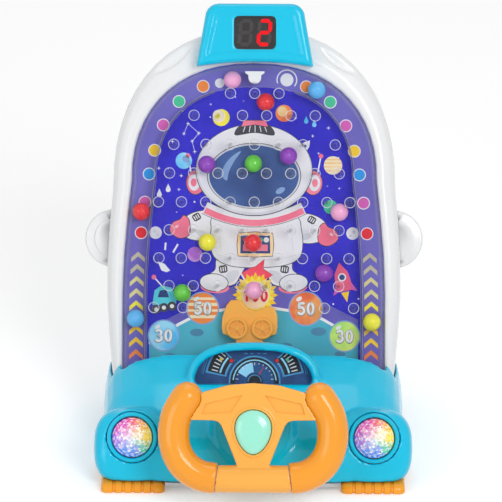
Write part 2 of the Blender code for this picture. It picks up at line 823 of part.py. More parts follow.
def main_board(parent):
    outline = rounded_rectangle(
        -PCB_HALF_WIDTH, PCB_HALF_WIDTH, PCB_V - PCB_HALF_HEIGHT, PCB_V + PCB_HALF_HEIGHT, 2 * MM
    )
    board = solid(
        "main_board",
        plate(outline, PCB_BACK_W, PCB_BACK_W + PCB_THICKNESS),
        material("circuit_board", (0.02, 0.25, 0.08), 0.5),
        parent,
    )
    for x, v, half in ((-8 * MM, 4 * MM, 7 * MM), (16 * MM, -6 * MM, 4 * MM)):
        chip = board_box(
            (x - half, x + half),
            (PCB_V + v - half, PCB_V + v + half),
            (PCB_BACK_W - 1.6 * MM, PCB_BACK_W + PCB_THICKNESS / 2),
        )
        join(board, cutter(f"chip_{round(half / MM)}", chip, parent))


def screws_and_switch(parent):
    seat = HOUSING_BACK_W + SCREW_SINK - GAP
    levels = (
        (SCREW_HEAD_RADIUS, seat - SCREW_HEAD_HEIGHT),
        (SCREW_HEAD_RADIUS, seat),
        (SCREW_SHANK_RADIUS, seat),
        (SCREW_SHANK_RADIUS, SCREW_TIP_W),
    )
    for side, name in ((-1, "left"), (1, "right")):
        solid(
            f"housing_screw_{name}",
            disc_stack(levels, 12, side * SCREW_X, SCREW_V),
            material("steel", STEEL, 0.3, 1.0),
            parent,
        )
    outline = rounded_rectangle(
        -SWITCH_WIDTH / 2,
        SWITCH_WIDTH / 2,
        SWITCH_V - SWITCH_HEIGHT / 2,
        SWITCH_V + SWITCH_HEIGHT / 2,
        0.8 * MM,
    )
    floor = HOUSING_BACK_W + HOUSING_WALL / 2
    solid(
        "power_switch",
        plate(outline, HOUSING_BACK_W - SWITCH_STAND, floor - GAP),
        material("black_plastic", (0.02, 0.02, 0.02), 0.4),
        parent,
    )


# ---------------------------------------------------------------- score display


def score_outline(inset):
    top_half = SCORE_TOP_HALF_WIDTH - inset
    foot_half = SCORE_BOTTOM_HALF_WIDTH - inset
    top, foot = SCORE_TOP_V - inset, SCORE_BOTTOM_V + inset
    corner = max(SCORE_CORNER - inset, 2 * MM)
    outline = [(foot_half, foot)]
    for side in (1, -1):
        for k in range(6):
            angle = math.pi / 2 * (k / 5 if side > 0 else 1 - k / 5)
            x = top_half - corner + corner * math.cos(angle)
            outline.append((side * x, top - corner + corner * math.sin(angle)))
    outline.append((-foot_half, foot))
    for k in range(1, 8):
        share = k / 4 - 1
        outline.append((foot_half * share, foot + SCORE_BOTTOM_RISE * (1 - share * share)))
    return outline


def score_unit(parent):
    front, back, wall = SCORE_FRONT_W, SCORE_BACK_W, SCORE_WALL
    levels = (
        (3 * MM, back),
        (0.8 * MM, back + 1.2 * MM),
        (0, back + 4 * MM),
        (0, front - 4 * MM),
        (0.9 * MM, front - 1.4 * MM),
        (3 * MM, front),
    )
    housing = solid(
        "score_housing",
        domed([(score_outline(inset), w) for inset, w in levels]),
        material("cyan_plastic", CYAN, 0.3),
        parent,
    )
    recess = 1 * MM
    inside = (
        (wall + 1 * MM, back + wall),
        (wall, back + wall + 2 * MM),
        (wall, front - wall - 3 * MM),
        (wall + 2 * MM, front - wall),
    )
    cavity = domed([(score_outline(inset), w) for inset, w in inside])
    cut(housing, cutter("score_cavity", cavity, parent))
    cut(housing, cutter("score_recess", plate(score_outline(7 * MM), front - recess, 2 * front), parent))
    window = (WINDOW_WIDTH / 2, WINDOW_HEIGHT / 2)
    hole = rounded_rectangle(
        -window[0] - GAP, window[0] + GAP, WINDOW_V - window[1] - GAP, WINDOW_V + window[1] + GAP,
        WINDOW_CORNER + GAP,
    )
    cut(housing, cutter("score_window_hole", plate(hole, front - 3 * wall, 2 * front), parent))
    cut(housing, cutter("score_seat", plate(shell_outline(-GAP), -CUT_REACH, 1 * MM), parent))
    cut(housing, cutter("score_frame_seat", frame_shape(GAP), parent))
    pane = rounded_rectangle(
        -window[0], window[0], WINDOW_V - window[1], WINDOW_V + window[1], WINDOW_CORNER
    )
    pane_front = front - recess - GAP
    pane_back = pane_front - WINDOW_THICKNESS
    smoked = material("smoked_plastic", (0.02, 0.02, 0.02), 0.1)
    solid("score_window", plate(pane, pane_back, pane_front), smoked, parent)
    margin = 2 * MM
    module = rounded_rectangle(
        -window[0] - margin, window[0] + margin,
        WINDOW_V - window[1] - margin, WINDOW_V + window[1] + margin, 1 * MM,
    )
    face = min(pane_back, front - wall) - GAP
    black = material("black_plastic", (0.02, 0.02, 0.02), 0.4)
    solid("score_display", plate(module, face - 4 * MM, face), black, parent)


# ---------------------------------------------------------------- base


def hood_body(inset, foot_z):
    """The hood's main form, without fenders: an arch that follows the ridge from nose to tail."""
    rings = []
    for y, height in smooth_curve(HOOD_RIDGE, 2):
        away = (y - BASE_MIDDLE_Y) / BASE_PLAN_LENGTH
        y_here = BASE_MIDDLE_Y + away * (BASE_PLAN_LENGTH - inset)
        half = (BASE_HALF_WIDTH - inset) * (1 - abs(away) ** BASE_PLAN_POWER) ** (1 / BASE_PLAN_POWER)
        ring = []
        for k in range(17):
            angle = math.pi * k / 16
            x = half * signed_power(math.cos(angle), 2 / HOOD_SIDE_POWER)
            rise = abs(math.sin(angle)) ** (2 / HOOD_SIDE_POWER)
            ring.append(Vector((x, y_here, foot_z + (height - inset - foot_z) * rise)))
        rings.append(ring)
    return loft(rings)


def fender(side, inset):
    """The rounded housing of one headlight, drawn out backwards into the hood's side."""
    levels = (
        (0.8, FENDER_BACK_W),
        (0.93, FENDER_BACK_W + 22 * MM),
        (1.0, FENDER_FRONT_W - 18 * MM),
        (1.0, FENDER_FRONT_W - 8 * MM),
        (0.93, FENDER_FRONT_W - 3 * MM),
        (0.8, FENDER_FRONT_W - 0.6 * MM),
        (0.66, FENDER_FRONT_W),
    )
    outlines = []
    for share, w in levels:
        outline = []
        for k in range(28):
            angle = math.tau * k / 28
            x = (FENDER_HALF_WIDTH * share - inset) * signed_power(math.cos(angle), 2 / 2.8)
            v = (FENDER_HALF_HEIGHT * share - inset) * signed_power(math.sin(angle), 2 / 2.8)
            outline.append((side * FENDER_X + x, FENDER_V + v))
        outlines.append((outline, w - inset))
    return domed(outlines)


def cowl_outline(inset, foot_v):
    half, height = COWL_HALF_WIDTH - inset, COWL_HEIGHT - inset
    outline = [(-half, foot_v), (half, foot_v)]
    for k in range(21):
        angle = math.pi * k / 20
        x = half * signed_power(math.cos(angle), 2 / COWL_POWER)
        v = COWL_FOOT_V + height * abs(math.sin(angle)) ** (2 / COWL_POWER)
        if v > foot_v + GAP:
            outline.append((x, v))
    return outline


def hood_shell(parent, ground):
    deep = COWL_FOOT_V - 14 * MM
    boss_foot_w = 40 * MM
    hood = solid("hood_shell", hood_body(0, -10 * MM), material("cyan_plastic", CYAN, 0.3), ground)
    boss = (
        (COLUMN_BOSS_RADIUS, boss_foot_w),
        (COLUMN_BOSS_RADIUS, COLUMN_BOSS_FRONT_W - 10 * MM),
        (COLUMN_BOSS_RADIUS - 2.5 * MM, COLUMN_BOSS_FRONT_W - 3 * MM),
        (COLUMN_BOSS_RADIUS - 6 * MM, COLUMN_BOSS_FRONT_W),
    )
    boss_inside = [(radius - BASE_WALL, w - BASE_WALL) for radius, w in boss]
    cowl = [
        (0, FRAME_FACE_W),
        (0, COWL_FRONT_W - 3 * MM),
        (0.8 * MM, COWL_FRONT_W - 0.8 * MM),
        (2 * MM, COWL_FRONT_W),
    ]
    cowl_inside = [(BASE_WALL, FRAME_FACE_W - BASE_WALL), (BASE_WALL, COWL_FRONT_W - 2 * BASE_WALL)]
    collar = (
        (COLLAR_RADIUS, FENDER_BACK_W + 20 * MM),
        (COLLAR_RADIUS, COLLAR_FRONT_W - 1 * MM),
        (COLLAR_RADIUS - 0.8 * MM, COLLAR_FRONT_W),
    )
    collar_inside = [(HEADLIGHT_RING_RADIUS - 1 * MM, w - BASE_WALL) for _, w in collar]
    for side, name in ((-1, "left"), (1, "right")):
        join(hood, cutter(f"fender_{name}", fender(side, 0), parent))
        disc = disc_stack(collar, 32, side * HEADLIGHT_X, HEADLIGHT_V)
        join(hood, cutter(f"collar_{name}", disc, parent))
    join(hood, cutter("column_boss", disc_stack(boss, 40, 0, AXIS_V), parent))
    join(hood, cutter("cowl", domed([(cowl_outline(i, deep), w) for i, w in cowl]), parent))
    cut(hood, cutter("hood_inside", hood_body(BASE_WALL, -20 * MM), ground))
    for side, name in ((-1, "left"), (1, "right")):
        cut(hood, cutter(f"fender_inside_{name}", fender(side, BASE_WALL), parent))
        disc = disc_stack(collar_inside, 24, side * HEADLIGHT_X, HEADLIGHT_V)
        cut(hood, cutter(f"collar_inside_{name}", disc, parent))
    cut(hood, cutter("boss_inside", disc_stack(boss_inside, 32, 0, AXIS_V), parent))
    cut(hood, cutter("cowl_inside", domed([(cowl_outline(i, deep), w) for i, w in cowl_inside]), parent))
    tub_back = PANEL_FACE_W - PANEL_THICKNESS - GAP - TUB_FLOOR
    tub_outline = cowl_outline(BASE_WALL - 0.4 * MM, COWL_FOOT_V - BASE_WALL)
    join(hood, cutter("dash_tub", plate(tub_outline, tub_back, COWL_FRONT_W - 0.5 * MM), parent))
    pocket = plate(cowl_outline(COWL_RIM, COWL_FOOT_V), tub_back + TUB_FLOOR, FENDER_FRONT_W)
    cut(hood, cutter("dash_pocket", pocket, parent))
    for side, name in ((-1, "left"), (1, "right")):
        seat = HEADLIGHT_RING_RADIUS + GAP
        levels = ((seat, FENDER_FRONT_W - 12 * MM), (seat, 2 * FENDER_FRONT_W))
        hole = disc_stack(levels, 32, side * HEADLIGHT_X, HEADLIGHT_V)
        cut(hood, cutter(f"headlight_hole_{name}", hole, parent))
    shaft_hole = ((SHAFT_RADIUS + GAP, boss_foot_w), (SHAFT_RADIUS + GAP, 2 * FENDER_FRONT_W))
    cut(hood, cutter("shaft_hole", disc_stack(shaft_hole, 20, 0, AXIS_V), parent))
    low_v = UNIT_BOTTOM_V - 20 * MM
    shell_slot = plate(
        shell_outline(-SLOT_CLEARANCE, low_v), HOUSING_BACK_W - SLOT_CLEARANCE, FRAME_FACE_W + SLOT_CLEARANCE
    )
    cut(hood, cutter("shell_slot", shell_slot, parent))
    cover_slot = plate(cover_outline(-SLOT_CLEARANCE, low_v), 0, COVER_TOP_W + SLOT_CLEARANCE)
    cut(hood, cutter("cover_slot", cover_slot, parent))
    wide = 2 * BASE_HALF_WIDTH
    under = box((-wide, -wide, -CUT_REACH), (wide, wide, HOOD_BOTTOM_Z))
    cut(hood, cutter("under_hood", under, ground))


def dash(parent):
    face = PANEL_FACE_W
    outline = cowl_outline(COWL_RIM + GAP, COWL_FOOT_V + GAP)
    printed = material("dash_print", (0.02, 0.05, 0.3), 0.3)
    solid("dash_panel", plate(outline, face - PANEL_THICKNESS, face), printed, parent)
    lens = plate(outline, face + GAP, face + GAP + LENS_THICKNESS)
    solid("dash_lens", lens, material("clear_plastic", CLEAR, 0.05, alpha=0.3), parent)


def headlights(parent):
    rim = FENDER_FRONT_W
    ring = (
        (HEADLIGHT_RING_RADIUS, rim - 5 * MM),
        (HEADLIGHT_RING_RADIUS, rim + 1 * MM),
        (HEADLIGHT_RING_RADIUS - 0.8 * MM, rim + 2.2 * MM),
        (HEADLIGHT_RADIUS + 1 * MM, rim + 2.2 * MM),
        (HEADLIGHT_RADIUS + GAP, rim + 1.2 * MM),
        (HEADLIGHT_RADIUS + GAP, rim - 5 * MM),
    )
    dome = [
        (HEADLIGHT_RADIUS * math.cos(a), rim + 0.6 * MM + 5 * MM * math.sin(a))
        for a in (math.pi / 2 * k / 6 for k in range(6))
    ]
    lens = [(HEADLIGHT_RADIUS, rim - 4 * MM), *dome, (0.6 * MM, rim + 5.6 * MM)]
    cyan = material("cyan_plastic", CYAN, 0.3)
    glass = material("headlight_lens", (0.9, 0.6, 0.8), 0.1)
    for side, name in ((-1, "left"), (1, "right")):
        x, v = side * HEADLIGHT_X, HEADLIGHT_V
        rings = [[on_board(a, b, w) for a, b in circle(r, 32, x, v)] for r, w in ring]
        solid(f"headlight_ring_{name}", loft(rings, closed=True), cyan, parent)
        solid(f"headlight_lens_{name}", disc_stack(lens, 24, x, v), glass, parent)


def tray_outline(inset):
    outline = []
    for k in range(48):
        angle = math.tau * k / 48
        x = (BASE_HALF_WIDTH - inset) * signed_power(math.cos(angle), 2 / BASE_PLAN_POWER)
        y = (BASE_PLAN_LENGTH - inset) * signed_power(math.sin(angle), 2 / BASE_PLAN_POWER)
        outline.append((x, BASE_MIDDLE_Y + y))
    return outline


def tyre_feet(ground):
    """Front feet shaped as the lowest part of broad tyres, with grooves round the tread."""
    back = TYRE_FRONT_Y + TYRE_LENGTH
    profile = [(TYRE_FRONT_Y + 1 * MM, TRAY_TOP_Z), (TYRE_FRONT_Y, TYRE_ROUND)]
    for k in range(1, 6):
        angle = math.pi + math.pi / 2 * k / 5
        y = TYRE_FRONT_Y + TYRE_ROUND * (1 + math.cos(angle))
        profile.append((y, TYRE_ROUND * (1 + math.sin(angle))))
    for k in range(5):
        angle = 1.5 * math.pi + math.pi / 2 * k / 5
        profile.append((back + TYRE_ROUND * (math.cos(angle) - 1), TYRE_ROUND * (1 + math.sin(angle))))
    profile += [(back, TYRE_ROUND), (back, TRAY_TOP_Z)]
    groove, depth = 0.7 * MM, 1.1 * MM
    for side, name in ((-1, "left"), (1, "right")):
        rings = []
        for share in (-1, -0.94, 0.94, 1):
            shrink = 1.6 * MM if abs(share) == 1 else 0
            ring = []
            for y, z in profile:
                squeezed = min(max(y, TYRE_FRONT_Y + shrink), back - shrink)
                ring.append(Vector((side * FENDER_X + share * TYRE_HALF_WIDTH, squeezed, max(z, shrink))))
            rings.append(ring)
        foot = solid(f"tyre_foot_{name}", loft(rings), material("orange_plastic", ORANGE, 0.35), ground)
        for k in range(TYRE_TREADS):
            x = side * FENDER_X + TYRE_HALF_WIDTH * (2 * (k + 1) / (TYRE_TREADS + 1) - 1)
            bottom = box((x - groove, TYRE_FRONT_Y - depth, -depth), (x + groove, back + depth, depth))
            front = box(
                (x - groove, TYRE_FRONT_Y - depth, -depth),
                (x + groove, TYRE_FRONT_Y + depth, 2 * TRAY_TOP_Z),
            )
            cut(foot, cutter(f"tread_{name}_{k}", bottom, ground))
            cut(foot, cutter(f"tread_front_{name}_{k}", front, ground))


def cell_bay():
    """Half sizes of the battery bay, and the lowest level of the cells."""
    half_x = CELL_LENGTH / 2 + 2 * GAP
    half_y = CELL_PITCH * (CELL_COUNT - 1) / 2 + CELL_RADIUS + 2 * GAP
    return half_x, half_y, TRAY_TOP_Z


def base_tray(parent, ground):
    tray = solid(
        "base_tray",
        loft([[Vector((x, y, z)) for x, y in tray_outline(1.2 * MM)] for z in (TRAY_BOTTOM_Z, TRAY_TOP_Z)]),
        material("grey_plastic", (0.75, 0.78, 0.8), 0.45),
        ground,
    )
    back = TYRE_FRONT_Y + TYRE_LENGTH + GAP
    for side, name in ((-1, "left"), (1, "right")):
        x = side * FENDER_X
        half = TYRE_HALF_WIDTH + GAP
        notch = box((x - half, BASE_FRONT_Y - CUT_REACH, -CUT_REACH), (x + half, back, CUT_REACH))
        cut(tray, cutter(f"tyre_notch_{name}", notch, ground))
        foot = (
            (REAR_FOOT_RADIUS - 1 * MM, 0),
            (REAR_FOOT_RADIUS, 1 * MM),
            (REAR_FOOT_RADIUS, TRAY_TOP_Z - 1 * MM),
        )
        join(tray, cutter(f"rear_foot_{name}", along_z(foot, 24, side * REAR_FOOT_X, REAR_FOOT_Y), ground))
    half_x, half_y, low = cell_bay()
    wall = BAY_WALL
    top = low + 2 * CELL_RADIUS + wall
    bay = box(
        (-half_x - wall, CELL_MIDDLE_Y - half_y - wall, TRAY_BOTTOM_Z + wall / 2),
        (half_x + wall, CELL_MIDDLE_Y + half_y + wall, top),
    )
    join(tray, cutter("bay_walls", bay, ground))
    hollow = box((-half_x, CELL_MIDDLE_Y - half_y, -CUT_REACH), (half_x, CELL_MIDDLE_Y + half_y, top + wall))
    cut(tray, cutter("bay_hollow", hollow, ground))
    for name, x, y in speaker_holes():
        cut(tray, cutter(name, along_z(((1.6 * MM, -CUT_REACH), (1.6 * MM, CUT_REACH)), 8, x, y), ground))
    bracket_w = (SHAFT_INNER_W - 1.4 * MM, SHAFT_INNER_W + 3.4 * MM)
    bracket = board_box((-8 * MM, 8 * MM), (AXIS_V - 30 * MM, AXIS_V + 2.6 * MM), bracket_w)
    bearing_levels = ((SHAFT_RADIUS + GAP, SHAFT_INNER_W - GAP), (SHAFT_RADIUS + GAP, CUT_REACH))
    bearing = disc_stack(bearing_levels, 20, 0, AXIS_V)
    join(tray, cutter("column_bracket", bracket, parent))
    cut(tray, cutter("column_bearing", bearing, parent))
    for side, name in ((-1, "left"), (1, "right")):
        x = side * (LAUNCH_SHAFT_HALF - LAUNCH_WHEEL_WIDTH - 4 * MM)
        post = board_box(
            (x - 1.5 * MM, x + 1.5 * MM),
            (LAUNCH_V - 40 * MM, LAUNCH_V + 4.5 * MM),
            (LAUNCH_W - 4 * MM, LAUNCH_W + 4 * MM),
        )
        join(tray, cutter(f"launch_post_{name}", post, parent))
    axis = on_board(0, LAUNCH_V, LAUNCH_W)
    bore_radius = LAUNCH_SHAFT_RADIUS + GAP
    bore = along_x(((bore_radius, -BASE_HALF_WIDTH), (bore_radius, BASE_HALF_WIDTH)), 12, axis.y, axis.z)
    cut(tray, cutter("launch_bore", bore, parent))
    middle = pinion_middle()
    start, end = motor_span()
    cradle = box(
        (start + 3 * MM, middle.y - 5 * MM, middle.z - MOTOR_RADIUS - 14 * MM),
        (end - 3 * MM, middle.y + 5 * MM, middle.z - MOTOR_RADIUS / 2),
    )
    join(tray, cutter("motor_cradle", cradle, parent))
    seat = along_x(((MOTOR_RADIUS + GAP, 0), (MOTOR_RADIUS + GAP, BASE_HALF_WIDTH)), 20, middle.y, middle.z)
    cut(tray, cutter("motor_seat", seat, parent))
    floor_cut = box(
        (-2 * BASE_HALF_WIDTH, BASE_FRONT_Y - CUT_REACH, -2 * CUT_REACH),
        (2 * BASE_HALF_WIDTH, REAR_FOOT_Y - 2 * REAR_FOOT_RADIUS, TRAY_BOTTOM_Z),
    )
    cut(tray, cutter("tray_underside", floor_cut, ground))


def speaker_place():
    return -55 * MM, 42 * MM


def speaker_holes():
    x, y = speaker_place()
    holes = [("sound_hole_0", x, y)]
    for k in range(6):
        angle = math.tau * k / 6
        holes.append((f"sound_hole_{k + 1}", x + 8 * MM * math.cos(angle), y + 8 * MM * math.sin(angle)))
    return holes


def power_and_sound(ground):
    half_x, half_y, low = cell_bay()
    door = rounded_rectangle(
        -half_x + GAP, half_x - GAP, CELL_MIDDLE_Y - half_y + GAP, CELL_MIDDLE_Y + half_y - GAP, 0.8 * MM
    )
    shape = loft([[Vector((x, y, z)) for x, y in door] for z in (TRAY_BOTTOM_Z, TRAY_TOP_Z - GAP)])
    solid("battery_door", shape, material("grey_plastic", (0.75, 0.78, 0.8), 0.45), ground)
    button = 2.6 * MM
    for k in range(CELL_COUNT):
        way = 1 if k % 2 else -1
        y = CELL_MIDDLE_Y + CELL_PITCH * (k - (CELL_COUNT - 1) / 2)
        levels = [
            (CELL_RADIUS, -CELL_LENGTH / 2),
            (CELL_RADIUS, CELL_LENGTH / 2 - 1 * MM),
            (button, CELL_LENGTH / 2 - 1 * MM),
            (button, CELL_LENGTH / 2),
        ]
        cell = along_x([(radius, way * x) for radius, x in levels], 16, y, low + CELL_RADIUS)
        solid(f"battery_{k + 1}", cell, material("cell_wrap", (0.1, 0.1, 0.12), 0.3), ground)
    x, y = speaker_place()
    levels = (
        (SPEAKER_RADIUS, TRAY_TOP_Z + GAP),
        (SPEAKER_RADIUS, TRAY_TOP_Z + 2 * MM),
        (0.6 * SPEAKER_RADIUS, TRAY_TOP_Z + 5 * MM),
        (0.4 * SPEAKER_RADIUS, TRAY_TOP_Z + 8 * MM),
    )
    solid("speaker", along_z(levels, 20, x, y), material("black_plastic", (0.02, 0.02, 0.02), 0.4), ground)


# ---------------------------------------------------------------- steering wheel


def egg_outline(grow=0.0, share=1.0):
    """The horn button's outline round the wheel's axis, blunt end up."""
    outline = []
    for k in range(28):
        angle = math.tau * k / 28
        across = (HORN_HALF_WIDTH + grow) * share / 1.018
        x = across * math.sin(angle) * (1 + HORN_EGG * math.cos(angle))
        outline.append((x, (HORN_HALF_HEIGHT + grow) * share * math.cos(angle)))
    return outline


def grip_shape(side, clearance=0.0):
    line = smooth_curve([(side * -x, v) for x, v in GRIP_LINE], 3)
    line[-1] = line[-1] + (line[-1] - line[-2]).normalized() * clearance
    return rolled_pipe(line, GRIP_RADIUS + clearance, 18, WHEEL_W)


def steering_wheel(pivot):
    outline = list(PLATE_LINE) + [(-x, v) for x, v in reversed(PLATE_LINE[1:])]
    orange = material("orange_plastic", ORANGE, 0.35)
    frame = solid(
        "steering_frame", plate(outline, WHEEL_W - PLATE_HALF_THICKNESS, PLATE_FRONT_W), orange, pivot
    )
    reach = 30 * MM
    middle = on_board(0, -BAR_DROP, WHEEL_W)
    bar = along_x(((BAR_RADIUS, -reach), (BAR_RADIUS, reach)), 18, middle.y, middle.z)
    join(frame, cutter("lower_bar", bar, pivot))
    hub = (
        (HUB_RADIUS - 2 * MM, HUB_BACK_W),
        (HUB_RADIUS, HUB_BACK_W + 2 * MM),
        (HUB_RADIUS, WHEEL_W - 1 * MM),
    )
    join(frame, cutter("hub", disc_stack(hub, 28), pivot))
    join(frame, cutter("horn_ring", plate(egg_outline(1.9 * MM), WHEEL_W, HORN_RING_W), pivot))
    cut(frame, cutter("horn_pocket", plate(egg_outline(GAP), HORN_FLOOR_W, 2 * WHEEL_W), pivot))
    bore = ((SHAFT_RADIUS + GAP, SHAFT_INNER_W), (SHAFT_RADIUS + GAP, SHAFT_FRONT_W + GAP))
    cut(frame, cutter("hub_bore", disc_stack(bore, 20), pivot))
    for side, name in ((-1, "left"), (1, "right")):
        cut(frame, cutter(f"grip_seat_{name}", grip_shape(side, GAP), pivot))
        solid(f"grip_{name}", grip_shape(side), material("orange_rubber", ORANGE, 0.5), pivot)
    base = HORN_FLOOR_W + HORN_TRAVEL + GAP
    button = [
        (egg_outline(), base),
        (egg_outline(), base + 3 * MM),
        (egg_outline(0, 0.94), base + 4.2 * MM),
        (egg_outline(0, 0.78), base + 5.2 * MM),
        (egg_outline(0, 0.5), base + 5.9 * MM),
    ]
    solid("horn_button", domed(button), material("mint_plastic", (0.45, 0.95, 0.8), 0.2), pivot)


def steering_drive(pivot):
    steel = material("steel", STEEL, 0.3, 1.0)
    shaft = (
        (SHAFT_RADIUS - 0.6 * MM, SHAFT_INNER_W),
        (SHAFT_RADIUS, SHAFT_INNER_W + 0.6 * MM),
        (SHAFT_RADIUS, SHAFT_FRONT_W),
    )
    solid("steering_shaft", disc_stack(shaft, 16), steel, pivot)
    fan = gear_outline(
        SECTOR_MODULE, SECTOR_TEETH, TOOTH_CLEARANCE,
        phase=math.pi / 2, first=-SECTOR_HALF_TEETH, last=SECTOR_HALF_TEETH,
    )
    hub_radius = 2.2 * SHAFT_RADIUS
    for k in range(11):
        angle = math.radians(150 + 24 * k)
        fan.append((hub_radius * math.cos(angle), hub_radius * math.sin(angle)))
    nylon = material("nylon", (0.85, 0.85, 0.8), 0.5)
    sector = solid("sector_gear", plate(fan, SECTOR_BACK_W, SECTOR_FRONT_W), nylon, pivot)
    bore = ((SHAFT_RADIUS + GAP, SHAFT_INNER_W), (SHAFT_RADIUS + GAP, SHAFT_FRONT_W))
    cut(sector, cutter("sector_bore", disc_stack(bore, 20), pivot))


def rack(carriage):
    """The toothed bar over the sector gear, with the arm that reaches back to the car."""
    pitch = math.pi * SECTOR_MODULE
    pitch_v = AXIS_V + SECTOR_RADIUS
    tip_v, root_v = pitch_v - 0.75 * SECTOR_MODULE, pitch_v + SECTOR_MODULE
    root_half = 0.36 * pitch - TOOTH_CLEARANCE
    tip_half = 0.12 * pitch - TOOTH_CLEARANCE
    outline = []
    for tooth in range(-RACK_HALF_TEETH, RACK_HALF_TEETH):
        middle = (tooth + 0.5) * pitch
        outline += [(middle - root_half, root_v), (middle - tip_half, tip_v)]
        outline += [(middle + tip_half, tip_v), (middle + root_half, root_v)]
    end = RACK_HALF_TEETH * pitch
    back_v = root_v + RACK_BACK_HEIGHT
    outline += [(end, root_v), (end, back_v), (-end, back_v), (-end, root_v)]
    front = RACK_BACK_W + RACK_THICKNESS
    nylon = material("nylon", (0.85, 0.85, 0.8), 0.5)
    bar = solid("catcher_rack", plate(outline, RACK_BACK_W, front), nylon, carriage)
    across = (-ARM_HALF_WIDTH, ARM_HALF_WIDTH)
    top_v = ARM_V + ARM_HEIGHT / 2
    arm = board_box(across, (back_v - 1 * MM, top_v), (RACK_BACK_W, front))
    pin = board_box(across, (ARM_V - ARM_HEIGHT / 2, top_v), (CAR_FRONT_W - 3 * MM, RACK_BACK_W + 1 * MM))
    join(bar, cutter("rack_arm", arm, carriage))
    join(bar, cutter("rack_pin", pin, carriage))


def catcher_car(carriage):
    scoop_start, scoop_end = math.radians(-48), math.radians(-162)
    scoop = []
    for k in range(10):
        angle = scoop_start + (scoop_end - scoop_start) * k / 9
        scoop.append((SCOOP_X + SCOOP_RADIUS * math.cos(angle), SCOOP_V + SCOOP_RADIUS * math.sin(angle)))
    half = CAR_HALF_WIDTH
    side_v, foot_v, roof_v = CAR_SIDE_BOTTOM_V, CAR_BOTTOM_V, CAR_ROOF_V
    outline = [
        (-half + 1 * MM, side_v),
        (-half / 2, (side_v + foot_v) / 2),
        (0, foot_v),
        (half / 2, (side_v + foot_v) / 2),
        (half - 1 * MM, side_v),
        (half, side_v + 5 * MM),
        (half - 0.2 * MM, roof_v - 10 * MM),
        (half - 2 * MM, roof_v - 5.2 * MM),
        *scoop,
        (scoop[-1][0] - 1.2 * MM, roof_v),
        (-half + 6.2 * MM, roof_v),
        (-half + 3.2 * MM, roof_v - 3.5 * MM),
        (-half + 0.4 * MM, roof_v - 11.5 * MM),
        (-half, side_v + 4 * MM),
    ]
    orange = material("orange_plastic", ORANGE, 0.35)
    shifted = [(CAR_X + x, v) for x, v in outline]
    car = solid("car_body", plate(shifted, CAR_BACK_W, CAR_FRONT_W), orange, carriage)
    foot = board_box(
        (CAR_X - CAR_FOOT_HALF_WIDTH, CAR_X + CAR_FOOT_HALF_WIDTH),
        (CAR_FOOT_V, CAR_BOTTOM_V + 2 * MM),
        (CAR_BACK_W, CAR_FRONT_W),
    )
    join(car, cutter("car_foot", foot, carriage))
    reach = ARM_HALF_WIDTH + GAP
    socket = board_box(
        (-reach, reach),
        (ARM_V - ARM_HEIGHT / 2 - GAP, ARM_V + ARM_HEIGHT / 2 + GAP),
        (CAR_FRONT_W - 3 * MM - GAP, COVER_TOP_W),
    )
    cut(car, cutter("arm_socket", socket, carriage))
    back = CAR_FRONT_W + GAP
    wheel = (
        (CAR_WHEEL_RADIUS, back),
        (CAR_WHEEL_RADIUS, back + CAR_WHEEL_THICKNESS - 0.6 * MM),
        (CAR_WHEEL_RADIUS - 0.6 * MM, back + CAR_WHEEL_THICKNESS),
    )
    for side, name in ((-1, "left"), (1, "right")):
        x = CAR_X + side * CAR_WHEEL_X
        solid(f"car_wheel_{name}", disc_stack(wheel, 24, x, CAR_WHEEL_V), orange, carriage)


# ---------------------------------------------------------------- ball launcher


def pinion_offset():
    distance = LAUNCH_MODULE * (LAUNCH_GEAR_TEETH + LAUNCH_PINION_TEETH) / 2
    return Vector((0, distance * math.cos(LAUNCH_MESH_ANGLE), distance * math.sin(LAUNCH_MESH_ANGLE)))


def pinion_middle():
    """A point of the pinion's axis, in the board frame."""
    return on_board(0, LAUNCH_V, LAUNCH_W) + pinion_offset()


def motor_span():
    start = LAUNCH_GEAR_X + LAUNCH_GEAR_WIDTH + 1.5 * MM
    return start, start + MOTOR_LENGTH


def across_x(outline, x_low, x_high):
    return loft([[Vector((x, a, b)) for a, b in outline] for x in (x_low, x_high)])


def paddle_outline():
    outline = []
    paddles = 6
    for k in range(paddles):
        middle = math.tau * k / paddles
        for share, half in ((0.5, 0.3), (1.0, 0.13), (1.0, -0.13), (0.5, -0.3)):
            radius = LAUNCH_WHEEL_RADIUS * share
            outline.append((radius * math.cos(middle - half), radius * math.sin(middle - half)))
    return outline


